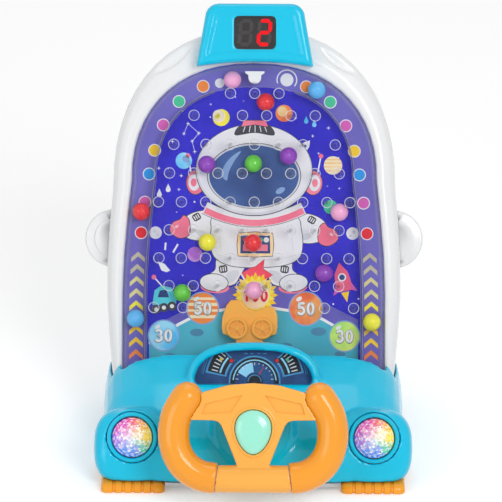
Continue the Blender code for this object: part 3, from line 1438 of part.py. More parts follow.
def launcher(shaft_pivot, pinion_pivot, parent):
    steel = material("steel", STEEL, 0.3, 1.0)
    nylon = material("nylon", (0.85, 0.85, 0.8), 0.5)
    half = LAUNCH_SHAFT_HALF
    radius = LAUNCH_SHAFT_RADIUS
    solid("launch_shaft", along_x(((radius, -half), (radius, half)), 12), steel, shaft_pivot)
    bore = along_x(((radius + GAP, -2 * half), (radius + GAP, 2 * half)), 12)
    hole = cutter("launch_wheel_bore", bore, shaft_pivot)
    for side, name in ((-1, "left"), (1, "right")):
        ends = sorted((side * (half - LAUNCH_WHEEL_WIDTH), side * half))
        rubber = material("orange_rubber", ORANGE, 0.5)
        wheel = solid(f"launch_wheel_{name}", across_x(paddle_outline(), *ends), rubber, shaft_pivot)
        cut(wheel, hole)
    x_low, x_high = LAUNCH_GEAR_X, LAUNCH_GEAR_X + LAUNCH_GEAR_WIDTH
    clearance = 0.06 * MM
    outline = gear_outline(LAUNCH_MODULE, LAUNCH_GEAR_TEETH, clearance, phase=LAUNCH_MESH_ANGLE)
    cut(solid("launch_gear", across_x(outline, x_low, x_high), nylon, shaft_pivot), hole)
    phase = LAUNCH_MESH_ANGLE + math.pi + math.pi / LAUNCH_PINION_TEETH
    outline = gear_outline(LAUNCH_MODULE, LAUNCH_PINION_TEETH, clearance, phase=phase)
    pinion = solid("motor_pinion", across_x(outline, x_low, x_high), steel, pinion_pivot)
    thin = 0.9 * MM
    bore = along_x(((thin + GAP, 0), (thin + GAP, half)), 10)
    cut(pinion, cutter("pinion_bore", bore, pinion_pivot))
    start, end = motor_span()
    middle = pinion_middle()
    levels = (
        (thin, x_low - 1 * MM),
        (thin, start - 1 * MM),
        (2.2 * MM, start - 1 * MM),
        (2.2 * MM, start),
        (MOTOR_RADIUS - 0.6 * MM, start),
        (MOTOR_RADIUS, start + 0.6 * MM),
        (MOTOR_RADIUS, end),
    )
    solid("launch_motor", along_x(levels, 20, middle.y, middle.z), steel, parent)


# ---------------------------------------------------------------- balls


def ball_shape():
    steps = 8
    levels = []
    for k in range(steps + 1):
        angle = math.pi * min(max(k, 0.35), steps - 0.35) / steps
        levels.append((BALL_RADIUS * math.sin(angle), -BALL_RADIUS * math.cos(angle)))
    return along_z(levels, 12)


def lane_middle_inset():
    return COVER_WALL + LANE_WIDTH / 2


def arch_height(x, inset):
    """Height of the outline's cap at x, moved in by an inset."""
    half, height = COVER_HALF_WIDTH - inset, COVER_CAP_HEIGHT - inset
    return COVER_CAP_V + height * (1 - (x / half) ** OUTLINE_POWER) ** (1 / OUTLINE_POWER)


def ball_places():
    places = list(FIELD_BALLS)
    for name, side, v in LANE_BALLS:
        places.append((name, side * (cover_half_width(v) - lane_middle_inset()), v))
    places.append(("ball_blue_arch", ARCH_BALL_X, arch_height(ARCH_BALL_X, lane_middle_inset())))
    return places


def balls(parent):
    for name, x, v in ball_places():
        colour = name.split("_")[1]
        finish = material(f"ball_{colour}", BALL_COLOURS[colour], 0.15)
        solid(name, ball_shape(), finish, parent, on_board(x, v, BALL_W))


# ---------------------------------------------------------------- assembly


def board_origin_z():
    """Height of the board frame's origin, which puts the front feet's contact on the table."""
    return -FOOT_W * math.sin(BOARD_TILT) - FOOT_V * math.cos(BOARD_TILT)


def centre_on_origin(machine):
    """Moves the machine so that the middle of its overall box is over the origin."""
    bpy.context.view_layer.update()
    graph = bpy.context.evaluated_depsgraph_get()
    middles = []
    for axis in (0, 1):
        reach = []
        for obj in bpy.data.objects:
            if obj.type == "MESH" and not obj.hide_render:
                made = obj.evaluated_get(graph)
                reach += [(made.matrix_world @ vertex.co)[axis] for vertex in made.data.vertices]
        middles.append((min(reach) + max(reach)) / 2)
    machine.location = (-middles[0], -middles[1], 0)


def main():
    clear_scene()
    machine = empty("machine")
    board_frame = empty("board_frame", machine, (0, 0, board_origin_z()), -BOARD_TILT)
    steering_pivot = empty("steering_pivot", board_frame, on_board(0, AXIS_V, 0))
    launch_pivot = empty("launch_pivot", board_frame, on_board(0, LAUNCH_V, LAUNCH_W))
    pinion_pivot = empty("pinion_pivot", launch_pivot, pinion_offset())
    play_board(board_frame)
    clear_cover(board_frame)
    front_frame(board_frame)
    rear_housing(board_frame, machine)
    ears(board_frame)
    top_divider(board_frame)
    main_board(board_frame)
    screws_and_switch(board_frame)
    score_unit(board_frame)
    hood_shell(board_frame, machine)
    dash(board_frame)
    headlights(board_frame)
    tyre_feet(machine)
    base_tray(board_frame, machine)
    power_and_sound(machine)
    steering_wheel(steering_pivot)
    steering_drive(steering_pivot)
    rack(board_frame)
    catcher_car(board_frame)
    launcher(launch_pivot, pinion_pivot, board_frame)
    balls(board_frame)
    centre_on_origin(machine)


main()
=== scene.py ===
"""Looks of a child's tabletop pachinko machine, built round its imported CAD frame.

The machine is a leaning play board under a clear cover, on a car-shaped base with a
steering wheel. Every piece rides on the CAD body that it belongs to. Lengths are metres
in the row frame unless a name says otherwise: +X is the player's right, +Y points away
from the player and +Z is up. Most places are given in the board frame: x across, v up
along the leaning board, w out of it towards the player.
"""

import json
import logging
import math
from dataclasses import dataclass
from enum import Enum
from typing import Callable, Iterable, Sequence

import bpy
from mathutils import Matrix, Vector

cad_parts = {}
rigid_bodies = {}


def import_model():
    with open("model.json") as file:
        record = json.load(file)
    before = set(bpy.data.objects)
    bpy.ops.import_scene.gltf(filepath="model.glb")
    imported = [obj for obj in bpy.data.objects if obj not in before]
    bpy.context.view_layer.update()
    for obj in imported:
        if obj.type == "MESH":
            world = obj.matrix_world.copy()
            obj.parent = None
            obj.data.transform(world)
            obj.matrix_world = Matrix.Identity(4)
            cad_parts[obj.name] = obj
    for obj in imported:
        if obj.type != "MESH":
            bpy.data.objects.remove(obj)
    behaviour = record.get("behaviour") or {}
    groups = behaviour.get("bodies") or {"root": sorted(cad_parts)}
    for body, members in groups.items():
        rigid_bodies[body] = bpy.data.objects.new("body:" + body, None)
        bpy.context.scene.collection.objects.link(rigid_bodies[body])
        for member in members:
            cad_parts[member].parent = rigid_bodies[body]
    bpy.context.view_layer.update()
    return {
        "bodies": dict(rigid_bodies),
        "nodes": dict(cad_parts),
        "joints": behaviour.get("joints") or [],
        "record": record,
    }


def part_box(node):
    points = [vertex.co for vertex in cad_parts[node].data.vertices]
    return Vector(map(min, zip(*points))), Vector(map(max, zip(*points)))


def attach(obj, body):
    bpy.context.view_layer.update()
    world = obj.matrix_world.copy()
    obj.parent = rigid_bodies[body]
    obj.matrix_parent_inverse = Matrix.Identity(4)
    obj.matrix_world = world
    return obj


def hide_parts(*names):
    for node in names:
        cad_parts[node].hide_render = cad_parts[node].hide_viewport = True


LOG = logging.getLogger("pachinko_scene")
MM = 0.001
INK_SHINE = 0.15
PRINT_LIFT = 0.012 * MM
Point = tuple[float, float]
Colour = tuple[float, float, float]


# ---------------------------------------------------------------- places


@dataclass(frozen=True)
class BoardFrame:
    """The leaning frame of the play board.

    Attributes:
        origin: The row-frame point at x, v, w of zero.
        up: The unit vector along v.
        out: The unit vector along w.
    """

    origin: Vector
    up: Vector
    out: Vector

    @classmethod
    def from_joint(cls, joint: dict, axis_v: float) -> "BoardFrame":
        """Finds the frame from the steering joint.

        Args:
            joint: The record's steering joint, whose axis runs into the board.
            axis_v: Height of the steering axis up the board.

        Returns:
            The board frame.
        """
        out = -Vector(joint["axis"]).normalized()
        up = Vector((1, 0, 0)).cross(Vector(joint["axis"])).normalized()
        return cls(Vector(joint["pos_m"]) - up * axis_v, up, out)

    def at(self, x: float, v: float, w: float) -> Vector:
        """Returns the row-frame point at x, v, w."""
        return self.origin + Vector((x, 0, 0)) + self.up * v + self.out * w

    def matrix(self, x: float = 0.0, v: float = 0.0, w: float = 0.0) -> Matrix:
        """Builds the matrix that lays a flat drawing on the board.

        Args:
            x: Place across the board of the drawing's own origin.
            v: Place up the board.
            w: Height off the board.

        Returns:
            A matrix that takes drawing (x, y, z) to the row frame, with z out of the board.
        """
        columns = Matrix((Vector((1, 0, 0)), self.up, self.out)).transposed()
        return Matrix.Translation(self.at(x, v, w)) @ columns.to_4x4()


# ---------------------------------------------------------------- modelling helpers


def deselect_all() -> None:
    """Leaves nothing selected, in object mode."""
    if bpy.context.mode != "OBJECT":
        bpy.ops.object.mode_set(mode="OBJECT")
    bpy.ops.object.select_all(action="DESELECT")


def make_active(obj: bpy.types.Object) -> None:
    """Selects one object alone and makes it active."""
    deselect_all()
    obj.select_set(True)
    bpy.context.view_layer.objects.active = obj


def apply_modifier(obj: bpy.types.Object, kind: str, **settings: object) -> None:
    """Adds one modifier and applies it.

    Args:
        obj: The piece to change.
        kind: The modifier's type.
        **settings: The modifier's own properties.
    """
    make_active(obj)
    step = obj.modifiers.new(kind.lower(), kind)
    for key, value in settings.items():
        setattr(step, key, value)
    bpy.ops.object.modifier_apply(modifier=step.name)


def smooth(obj: bpy.types.Object, degrees: float = 32.0) -> bpy.types.Object:
    """Shades a piece smooth except over edges sharper than an angle.

    Args:
        obj: The piece to shade.
        degrees: The sharpest angle that is still smoothed.

    Returns:
        The same piece.
    """
    make_active(obj)
    bpy.ops.object.shade_smooth_by_angle(angle=math.radians(degrees))
    return obj


def crisp(obj: bpy.types.Object, degrees: float = 32.0) -> bpy.types.Object:
    """Shades a piece smooth, with the flat faces kept flat.

    Args:
        obj: The piece.
        degrees: Edges sharper than this stay sharp.

    Returns:
        The same piece.
    """
    smooth(obj, degrees)
    apply_modifier(obj, "WEIGHTED_NORMAL", keep_sharp=True, weight=80)
    return obj


def copy_node(nodes: dict, node: str, name: str) -> bpy.types.Object:
    """Copies a CAD node's mesh into a new piece whose loose triangles are merged.

    Args:
        nodes: The frame's CAD nodes by name.
        node: The node to copy.
        name: The new piece's name.

    Returns:
        The new piece, at the origin.
    """
    deselect_all()
    piece = bpy.data.objects.new(name, nodes[node].data.copy())
    piece.data.materials.clear()
    bpy.context.scene.collection.objects.link(piece)
    make_active(piece)
    bpy.ops.object.mode_set(mode="EDIT")
    bpy.ops.mesh.select_all(action="SELECT")
    bpy.ops.mesh.remove_doubles(threshold=2e-6)
    bpy.ops.mesh.dissolve_limited(angle_limit=math.radians(0.5))
    bpy.ops.mesh.quads_convert_to_tris()
    bpy.ops.object.mode_set(mode="OBJECT")
    return piece


def soften_edges(obj: bpy.types.Object, width: float, degrees: float = 35.0) -> bpy.types.Object:
    """Gives a piece's sharp edges a small round, as a mould does.

    Args:
        obj: The piece to change.
        width: The round's width.
        degrees: Edges sharper than this are rounded.

    Returns:
        The same piece, shaded smooth.
    """
    apply_modifier(
        obj,
        "BEVEL",
        width=width,
        segments=2,
        limit_method="ANGLE",
        angle_limit=math.radians(degrees),
        harden_normals=False,
        use_clamp_overlap=True,
    )
    return smooth(obj)


def fused(obj: bpy.types.Object, voxel: float, relax: int, factor: float = 0.5) -> bpy.types.Object:
    """Remeshes a piece and relaxes it, so that forms that meet flow into each other.

    Args:
        obj: The piece to change.
        voxel: The size of a voxel.
        relax: How many times the surface is relaxed.
        factor: How far it is relaxed each time.

    Returns:
        The same piece, shaded smooth.
    """
    apply_modifier(obj, "REMESH", mode="VOXEL", voxel_size=voxel, use_smooth_shade=True)
    apply_modifier(obj, "SMOOTH", iterations=relax, factor=factor)
    return smooth(obj, 60)


def finish_place(obj: bpy.types.Object, matrix: Matrix) -> bpy.types.Object:
    """Moves a piece by a matrix and leaves its place in its mesh.

    Args:
        obj: The piece, modelled round the origin.
        matrix: Where it goes.

    Returns:
        The same piece.
    """
    make_active(obj)
    obj.matrix_world = matrix
    bpy.ops.object.transform_apply(location=True, rotation=True, scale=True)
    return obj


def join_pieces(pieces: Sequence[bpy.types.Object], name: str) -> bpy.types.Object:
    """Joins pieces into one object.

    Args:
        pieces: What is joined. The first one keeps its identity.
        name: The joined piece's name.

    Returns:
        The joined piece.
    """
    deselect_all()
    for piece in pieces:
        piece.select_set(True)
    bpy.context.view_layer.objects.active = pieces[0]
    if len(pieces) > 1:
        bpy.ops.object.join()
    joined = bpy.context.view_layer.objects.active
    joined.name = name
    joined.data.name = name
    return joined


def turned(profile: Sequence[Point], steps: int, name: str) -> bpy.types.Object:
    """Spins a profile round Z into a closed piece.

    Args:
        profile: Points (radius, z) from the bottom's middle to the top's middle.
        steps: How many steps the spin takes.
        name: The piece's name.

    Returns:
        The piece, round the origin.
    """
    deselect_all()
    bpy.ops.mesh.primitive_plane_add(size=1)
    piece = bpy.context.active_object
    piece.name = name
    bpy.ops.object.mode_set(mode="EDIT")
    bpy.ops.mesh.select_all(action="SELECT")
    bpy.ops.mesh.merge(type="CENTER")
    first = profile[0]
    bpy.ops.transform.translate(value=(first[0], 0, first[1]))
    for (r0, z0), (r1, z1) in zip(profile, profile[1:]):
        bpy.ops.mesh.extrude_region_move(
            TRANSFORM_OT_translate={"value": (r1 - r0, 0, z1 - z0)}
        )
    bpy.ops.mesh.select_all(action="SELECT")
    bpy.ops.mesh.spin(steps=steps, angle=math.tau, center=(0, 0, 0), axis=(0, 0, 1))
    bpy.ops.mesh.select_all(action="SELECT")
    bpy.ops.mesh.remove_doubles(threshold=1e-6)
    bpy.ops.mesh.normals_make_consistent(inside=False)
    bpy.ops.object.mode_set(mode="OBJECT")
    return piece


def drawn_through(
    rings: Sequence[Sequence[Vector]], name: str, back: bool = False
) -> bpy.types.Object:
    """Extrudes an outline from ring to ring and closes the last one.

    Args:
        rings: Rings with as many points each.
        name: The piece's name.
        back: Whether the first ring is closed too.

    Returns:
        The piece.
    """
    deselect_all()
    bpy.ops.mesh.primitive_circle_add(vertices=len(rings[0]), radius=MM, fill_type="NOTHING")
    piece = bpy.context.active_object
    piece.name = name
    for vertex, place in zip(piece.data.vertices, rings[0]):
        vertex.co = place
    bpy.ops.object.mode_set(mode="EDIT")
    bpy.ops.mesh.select_all(action="SELECT")
    if back:
        bpy.ops.mesh.edge_face_add()
        bpy.ops.mesh.select_mode(type="EDGE")
    for last, ring in zip(rings, rings[1:]):
        where = {rounded(place): i for i, place in enumerate(last)}
        bpy.ops.mesh.extrude_region_move()
        bpy.ops.object.mode_set(mode="OBJECT")
        for vertex in piece.data.vertices:
            if vertex.select:
                vertex.co = ring[where[rounded(vertex.co)]]
        bpy.ops.object.mode_set(mode="EDIT")
    if not back:
        bpy.ops.mesh.edge_face_add()
    bpy.ops.mesh.select_mode(type="VERT")
    bpy.ops.mesh.select_all(action="SELECT")
    bpy.ops.mesh.normals_make_consistent(inside=False)
    bpy.ops.object.mode_set(mode="OBJECT")
    return piece


def rounded(place: Sequence[float]) -> tuple[float, ...]:
    """Returns a point's coordinates to a micrometre, as a key."""
    return tuple(round(value, 6) for value in place)


def cut_away(piece: bpy.types.Object, tool: bpy.types.Object) -> bpy.types.Object:
    """Cuts one piece out of another, and returns what is left."""
    apply_modifier(piece, "BOOLEAN", operation="DIFFERENCE", object=tool)
    bpy.data.objects.remove(tool, do_unlink=True)
    return piece


# ---------------------------------------------------------------- shared effects


def set_inputs(node: bpy.types.Node, values: dict[str, object]) -> None:
    """Sets a node's inputs by name."""
    for name, value in values.items():
        node.inputs[name].default_value = value


def noise(
    tree: bpy.types.NodeTree, place: bpy.types.NodeSocket, scale: float, detail: float = 2.0
) -> bpy.types.NodeSocket:
    """Adds a noise texture.

    Args:
        tree: The node tree that it goes into.
        place: The socket that it reads its place from.
        scale: How fine it is.
        detail: How many finer layers it has.

    Returns:
        The noise, from 0 to 1.
    """
    node = tree.nodes.new("ShaderNodeTexNoise")
    set_inputs(node, {"Scale": scale, "Detail": detail})
    tree.links.new(place, node.inputs["Vector"])
    return node.outputs["Fac"]


def ranged(
    tree: bpy.types.NodeTree,
    value: bpy.types.NodeSocket,
    low: float,
    high: float,
    start: float = 0.0,
    end: float = 1.0,
) -> bpy.types.NodeSocket:
    """Takes a value from one range to another.

    Args:
        tree: The node tree that holds the value.
        value: The value's socket.
        low: What the start becomes.
        high: What the end becomes.
        start: Where the value's own range starts.
        end: Where it ends.

    Returns:
        The socket of the new value.
    """
    node = tree.nodes.new("ShaderNodeMapRange")
    set_inputs(node, {"From Min": start, "From Max": end, "To Min": low, "To Max": high})
    tree.links.new(value, node.inputs["Value"])
    return node.outputs["Result"]


def new_group(
    name: str, inputs: Sequence[tuple[str, str, object]], outputs: Sequence[tuple[str, str]]
) -> tuple[bpy.types.NodeTree, bpy.types.Node, bpy.types.Node]:
    """Makes an empty shader node group with named sockets.

    Args:
        name: The group's name.
        inputs: Name, socket type and default of each input.
        outputs: Name and socket type of each output.

    Returns:
        The group, its input node and its output node.
    """
    group = bpy.data.node_groups.new(name, "ShaderNodeTree")
    for label, kind, default in inputs:
        socket = group.interface.new_socket(label, in_out="INPUT", socket_type=kind)
        if default is not None:
            socket.default_value = default
    for label, kind in outputs:
        group.interface.new_socket(label, in_out="OUTPUT", socket_type=kind)
    return group, group.nodes.new("NodeGroupInput"), group.nodes.new("NodeGroupOutput")


def moulded_skin() -> bpy.types.NodeTree:
    """Builds the effect that every moulded plastic shares.

    Returns:
        A group that turns a colour into a faintly uneven one, with a fine grain, rub marks
        that change the gloss, and the normal of both.
    """
    group, entry, leave = new_group(
        "moulded_skin",
        [
            ("Vector", "NodeSocketVector", None),
            ("Colour", "NodeSocketColor", (0.8, 0.8, 0.8, 1)),
            ("Gloss", "NodeSocketFloat", 0.25),
            ("Grain", "NodeSocketFloat", 0.1),
            ("Mottle", "NodeSocketFloat", 0.05),
        ],
        [
            ("Colour", "NodeSocketColor"),
            ("Roughness", "NodeSocketFloat"),
            ("Normal", "NodeSocketVector"),
        ],
    )
    add, link = group.nodes.new, group.links.new
    place = entry.outputs["Vector"]
    broad = ranged(group, noise(group, place, 18, 3), -1, 1, 0.3, 0.7)
    fine = noise(group, place, 1500)
    rub = noise(group, place, 60, 5)
    amount = add("ShaderNodeMath")
    amount.operation = "MULTIPLY_ADD"
    amount.inputs[2].default_value = 1
    link(broad, amount.inputs[0])
    link(entry.outputs["Mottle"], amount.inputs[1])
    tint = add("ShaderNodeVectorMath")
    tint.operation = "SCALE"
    link(entry.outputs["Colour"], tint.inputs[0])
    link(amount.outputs[0], tint.inputs["Scale"])
    link(tint.outputs[0], leave.inputs["Colour"])
    gloss = add("ShaderNodeMath")
    gloss.operation = "MULTIPLY_ADD"
    gloss.inputs[1].default_value = 0.16
    link(rub, gloss.inputs[0])
    link(entry.outputs["Gloss"], gloss.inputs[2])
    link(gloss.outputs[0], leave.inputs["Roughness"])
    relief = add("ShaderNodeBump")
    relief.inputs["Distance"].default_value = 0.05 * MM
    link(fine, relief.inputs["Height"])
    link(entry.outputs["Grain"], relief.inputs["Strength"])
    link(relief.outputs["Normal"], leave.inputs["Normal"])
    return group


def printed_ink() -> bpy.types.NodeTree:
    """Builds the effect of printed ink, where two near colours cloud into each other.

    Returns:
        A group that gives the ink's colour and roughness.
    """
    group, entry, leave = new_group(
        "printed_ink",
        [
            ("Vector", "NodeSocketVector", None),
            ("Colour", "NodeSocketColor", (0.8, 0.8, 0.8, 1)),
            ("Second", "NodeSocketColor", (0.8, 0.8, 0.8, 1)),
            ("Scale", "NodeSocketFloat", 60.0),
        ],
        [("Colour", "NodeSocketColor"), ("Roughness", "NodeSocketFloat")],
    )
    link = group.links.new
    cloud = noise(group, entry.outputs["Vector"], 60)
    link(entry.outputs["Scale"], cloud.node.inputs["Scale"])
    blend = group.nodes.new("ShaderNodeMix")
    blend.data_type = "RGBA"
    link(ranged(group, cloud, 0, 1, 0.35, 0.65), blend.inputs["Factor"])
    link(entry.outputs["Colour"], blend.inputs["A"])
    link(entry.outputs["Second"], blend.inputs["B"])
    link(blend.outputs["Result"], leave.inputs["Colour"])
    link(ranged(group, cloud, 0.34, 0.46), leave.inputs["Roughness"])
    return group


# ---------------------------------------------------------------- finishes


def start_material(
    name: str,
) -> tuple[bpy.types.Material, bpy.types.Node, bpy.types.NodeSocket]:
    """Makes a material with a Principled shader that reads Object coordinates.

    Args:
        name: The material's name.

    Returns:
        The material, its shader and the socket of its Object coordinates.
    """
    made = bpy.data.materials.new(name)
    made.use_nodes = True
    shader = made.node_tree.nodes["Principled BSDF"]
    place = made.node_tree.nodes.new("ShaderNodeTexCoord")
    return made, shader, place.outputs["Object"]


def place_group(made: bpy.types.Material, name: str) -> bpy.types.Node:
    """Places a shared effect in a material and returns its node."""
    node = made.node_tree.nodes.new("ShaderNodeGroup")
    node.node_tree = bpy.data.node_groups[name]
    return node


class Look:
    """What every finish shares: its material is built once and used again.

    Attributes:
        name: The material's name.
    """

    name: str

    def make(self) -> bpy.types.Material:
        """Returns the material, and builds it the first time."""
        return bpy.data.materials.get(self.name) or self._build()

    def _build(self) -> bpy.types.Material:
        """Builds the material."""
        raise NotImplementedError


@dataclass(frozen=True)
class Moulded(Look):
    """A moulded plastic: its colour, how dull it is, its grain and how uneven its colour is."""

    name: str
    colour: Colour
    gloss: float = 0.16
    grain: float = 0.05
    mottle: float = 0.02
    coat: float = 0.0
    shine: float = 0.4

    def _build(self) -> bpy.types.Material:
        """Builds the material from the shared skin."""
        made, shader, place = start_material(self.name)
        link = made.node_tree.links.new
        skin = place_group(made, "moulded_skin")
        colour = (*self.colour, 1)
        grain = {"Gloss": self.gloss, "Grain": self.grain, "Mottle": self.mottle}
        set_inputs(skin, {"Colour": colour, **grain})
        link(place, skin.inputs["Vector"])
        link(skin.outputs["Colour"], shader.inputs["Base Color"])
        link(skin.outputs["Roughness"], shader.inputs["Roughness"])
        link(skin.outputs["Normal"], shader.inputs["Normal"])
        set_inputs(shader, {"Coat Weight": self.coat, "Coat Roughness": 0.06})
        set_inputs(shader, {"Specular IOR Level": self.shine, "IOR": 1.5})
        made.diffuse_color = colour
        return made


@dataclass(frozen=True)
class Ink(Look):
    """A printed ink: two near colours that cloud into each other, and how much it glows."""

    name: str
    colour: Colour
    second: Colour | None = None
    scale: float = 60.0
    glow: float = 0.0

    def _build(self) -> bpy.types.Material:
        """Builds the material from the shared ink."""
        made, shader, place = start_material(self.name)
        link = made.node_tree.links.new
        ink = place_group(made, "printed_ink")
        colour = (*self.colour, 1)
        second = self.second or tuple(min(1.0, c * 0.93) for c in self.colour)
        set_inputs(ink, {"Colour": colour, "Second": (*second, 1), "Scale": self.scale})
        link(place, ink.inputs["Vector"])
        link(ink.outputs["Colour"], shader.inputs["Base Color"])
        link(ink.outputs["Roughness"], shader.inputs["Roughness"])
        shader.inputs["Specular IOR Level"].default_value = INK_SHINE
        if self.glow:
            link(ink.outputs["Colour"], shader.inputs["Emission Color"])
            shader.inputs["Emission Strength"].default_value = self.glow
        made.diffuse_color = colour
        return made


@dataclass(frozen=True)
class Clear(Look):
    """A clear plastic: its tint, how solid it looks from the front to its edges, and its shine."""

    name: str
    tint: Colour = (0.95, 0.97, 1.0)
    face: float = 0.05
    edge: float = 0.55
    bend: float = 0.35
    shine: float = 0.25

    def _build(self) -> bpy.types.Material:
        """Builds the material, clear square on and more solid at a slant."""
        made, shader, place = start_material(self.name)
        tree, link = made.node_tree, made.node_tree.links.new
        rim = tree.nodes.new("ShaderNodeLayerWeight")
        rim.inputs["Blend"].default_value = self.bend
        # A pale tint turns solid at a slant, so clear edges show a light rim: partly the real way
        # clear plastic shows more at a slant, partly a painted reflection.
        link(ranged(tree, rim.outputs["Facing"], self.face, self.edge), shader.inputs["Alpha"])
        rough = ranged(tree, noise(tree, place, 40), 0.03, 0.09)
        link(rough, shader.inputs["Roughness"])
        set_inputs(shader, {"Base Color": (*self.tint, 1), "IOR": 1.49})
        shader.inputs["Specular IOR Level"].default_value = self.shine
        made.diffuse_color = (*self.tint, 0.3)
        return made


@dataclass(frozen=True)
class Metal(Look):
    """A bare metal, with a fine unevenness in its polish."""

    name: str
    colour: Colour = (0.62, 0.62, 0.64)
    rough: float = 0.28

    def _build(self) -> bpy.types.Material:
        """Builds the material."""
        made, shader, place = start_material(self.name)
        tree = made.node_tree
        polish = ranged(tree, noise(tree, place, 420, 3), self.rough - 0.08, self.rough + 0.12)
        tree.links.new(polish, shader.inputs["Roughness"])
        set_inputs(shader, {"Base Color": (*self.colour, 1), "Metallic": 1.0})
        return made


@dataclass(frozen=True)
class NightSky(Look):
    """The board's blue ground: deep blue with faint clouds and scattered stars."""

    name: str = "night_sky_print"
    deep: Colour = (0.014, 0.008, 0.5)
    pale: Colour = (0.03, 0.02, 0.64)

    def _build(self) -> bpy.types.Material:
        """Builds the material from the shared ink, with a star in each cell."""
        made, shader, place = start_material(self.name)
        tree, link = made.node_tree, made.node_tree.links.new
        ink = place_group(made, "printed_ink")
        deep = (*self.deep, 1)
        set_inputs(ink, {"Colour": deep, "Second": (*self.pale, 1), "Scale": 14})
        link(place, ink.inputs["Vector"])
        cells = tree.nodes.new("ShaderNodeTexVoronoi")
        set_inputs(cells, {"Scale": 95, "Randomness": 1})
        link(place, cells.inputs["Vector"])
        stars = tree.nodes.new("ShaderNodeMix")
        stars.data_type = "RGBA"
        stars.inputs["B"].default_value = (0.85, 0.88, 1, 1)
        spark = ranged(tree, cells.outputs["Distance"], 0, 1, 0.075, 0.045)
        link(spark, stars.inputs["Factor"])
        link(ink.outputs["Colour"], stars.inputs["A"])
        link(stars.outputs["Result"], shader.inputs["Base Color"])
        link(ink.outputs["Roughness"], shader.inputs["Roughness"])
        shader.inputs["Specular IOR Level"].default_value = INK_SHINE
        made.diffuse_color = deep
        return made


@dataclass(frozen=True)
class TintedLens(Look):
    """A lens whose colour is held by its facets, in the attribute facet_tint, and which glows
    faintly in that colour: a painted glow.
    """

    name: str = "many_coloured_lens"
    glow: float = 0.3

    def _build(self) -> bpy.types.Material:
        """Builds the material from the facets' own colours."""
        made, shader, place = start_material(self.name)
        tree, link = made.node_tree, made.node_tree.links.new
        tint = tree.nodes.new("ShaderNodeAttribute")
        tint.attribute_name = "facet_tint"
        link(tint.outputs["Color"], shader.inputs["Base Color"])
        link(tint.outputs["Color"], shader.inputs["Emission Color"])
        # painted glow: the lens gives off light in its facets' own colours
        shader.inputs["Emission Strength"].default_value = self.glow
        rough = ranged(tree, noise(tree, place, 900), 0.04, 0.16)
        link(rough, shader.inputs["Roughness"])
        return made


@dataclass(frozen=True)
class CircuitBoard(Look):
    """A green circuit board with a pattern of copper tracks under its mask."""

    name: str = "circuit_board_mask"

    def _build(self) -> bpy.types.Material:
        """Builds the material."""
        made, shader, place = start_material(self.name)
        tree, link = made.node_tree, made.node_tree.links.new
        tracks = tree.nodes.new("ShaderNodeTexBrick")
        set_inputs(tracks, {
            "Color1": (0.01, 0.2, 0.06, 1),
            "Color2": (0.01, 0.16, 0.05, 1),
            "Mortar": (0.05, 0.36, 0.12, 1),
            "Scale": 110,
        })
        link(place, tracks.inputs["Vector"])
        link(tracks.outputs["Color"], shader.inputs["Base Color"])
        shader.inputs["Roughness"].default_value = 0.35
        return made


class Finish(Enum):
    """Every plain finish of the machine, by where it is used."""

    CYAN = Moulded("cyan_hood_plastic", (0.0, 0.56, 0.82), 0.1, 0.02, 0.02, 0.3, 0.2)
    WHITE = Moulded("white_shell_plastic", (0.85, 0.855, 0.865), 0.16, 0.03, 0.01, 0.2)
    ORANGE = Moulded("orange_wheel_plastic", (0.96, 0.45, 0.07), 0.12, 0.02, 0.02, 0.2, 0.3)
    GRIP = Moulded("orange_grip_plastic", (0.95, 0.36, 0.02), 0.12, 0.02, 0.02, 0.3, 0.3)
    CAR = Moulded("orange_car_plastic", (0.95, 0.43, 0.05), 0.18, 0.03, 0.02, 0.2, 0.3)
    TYRE = Moulded("orange_foot_plastic", (0.95, 0.38, 0.02), 0.2, 0.04, 0.02, 0.1, 0.3)
    MINT = Moulded("mint_button_plastic", (0.33, 0.85, 0.66), 0.12, 0.02, 0.02, 0.6)
    GREY = Moulded("grey_tray_plastic", (0.62, 0.65, 0.68), 0.38, 0.2, 0.03)
    BLACK = Moulded("black_plastic", (0.015, 0.016, 0.018), 0.3, 0.15, 0.05)
    RUBBER = Moulded("paddle_rubber", (0.9, 0.42, 0.06), 0.6, 0.25, 0.04)
    NYLON = Moulded("gear_nylon", (0.78, 0.78, 0.73), 0.42, 0.12, 0.03)
    WRAP = Moulded("cell_wrap", (0.04, 0.05, 0.08), 0.22, 0.03, 0.05)
    STEEL = Metal("plain_steel")
    # the cover and the pegs turn near white and solid at a slant, so their edges show as white
    # lines and rings: partly painted highlight
    COVER = Clear("clear_cover_plastic", face=0.01, edge=0.8, bend=0.1)
    PEG = Clear("clear_peg_plastic", (0.97, 0.98, 1.0), 0.02, 1.0, 0.62)
    SMOKED = Clear("smoked_window_plastic", (0.02, 0.022, 0.03), 0.12, 0.8, 0.15)
    BOARD = CircuitBoard()
    SKY = NightSky()
    LENS = TintedLens()

    def made(self) -> bpy.types.Material:
        """Returns the finish's material."""
        return self.value.make()


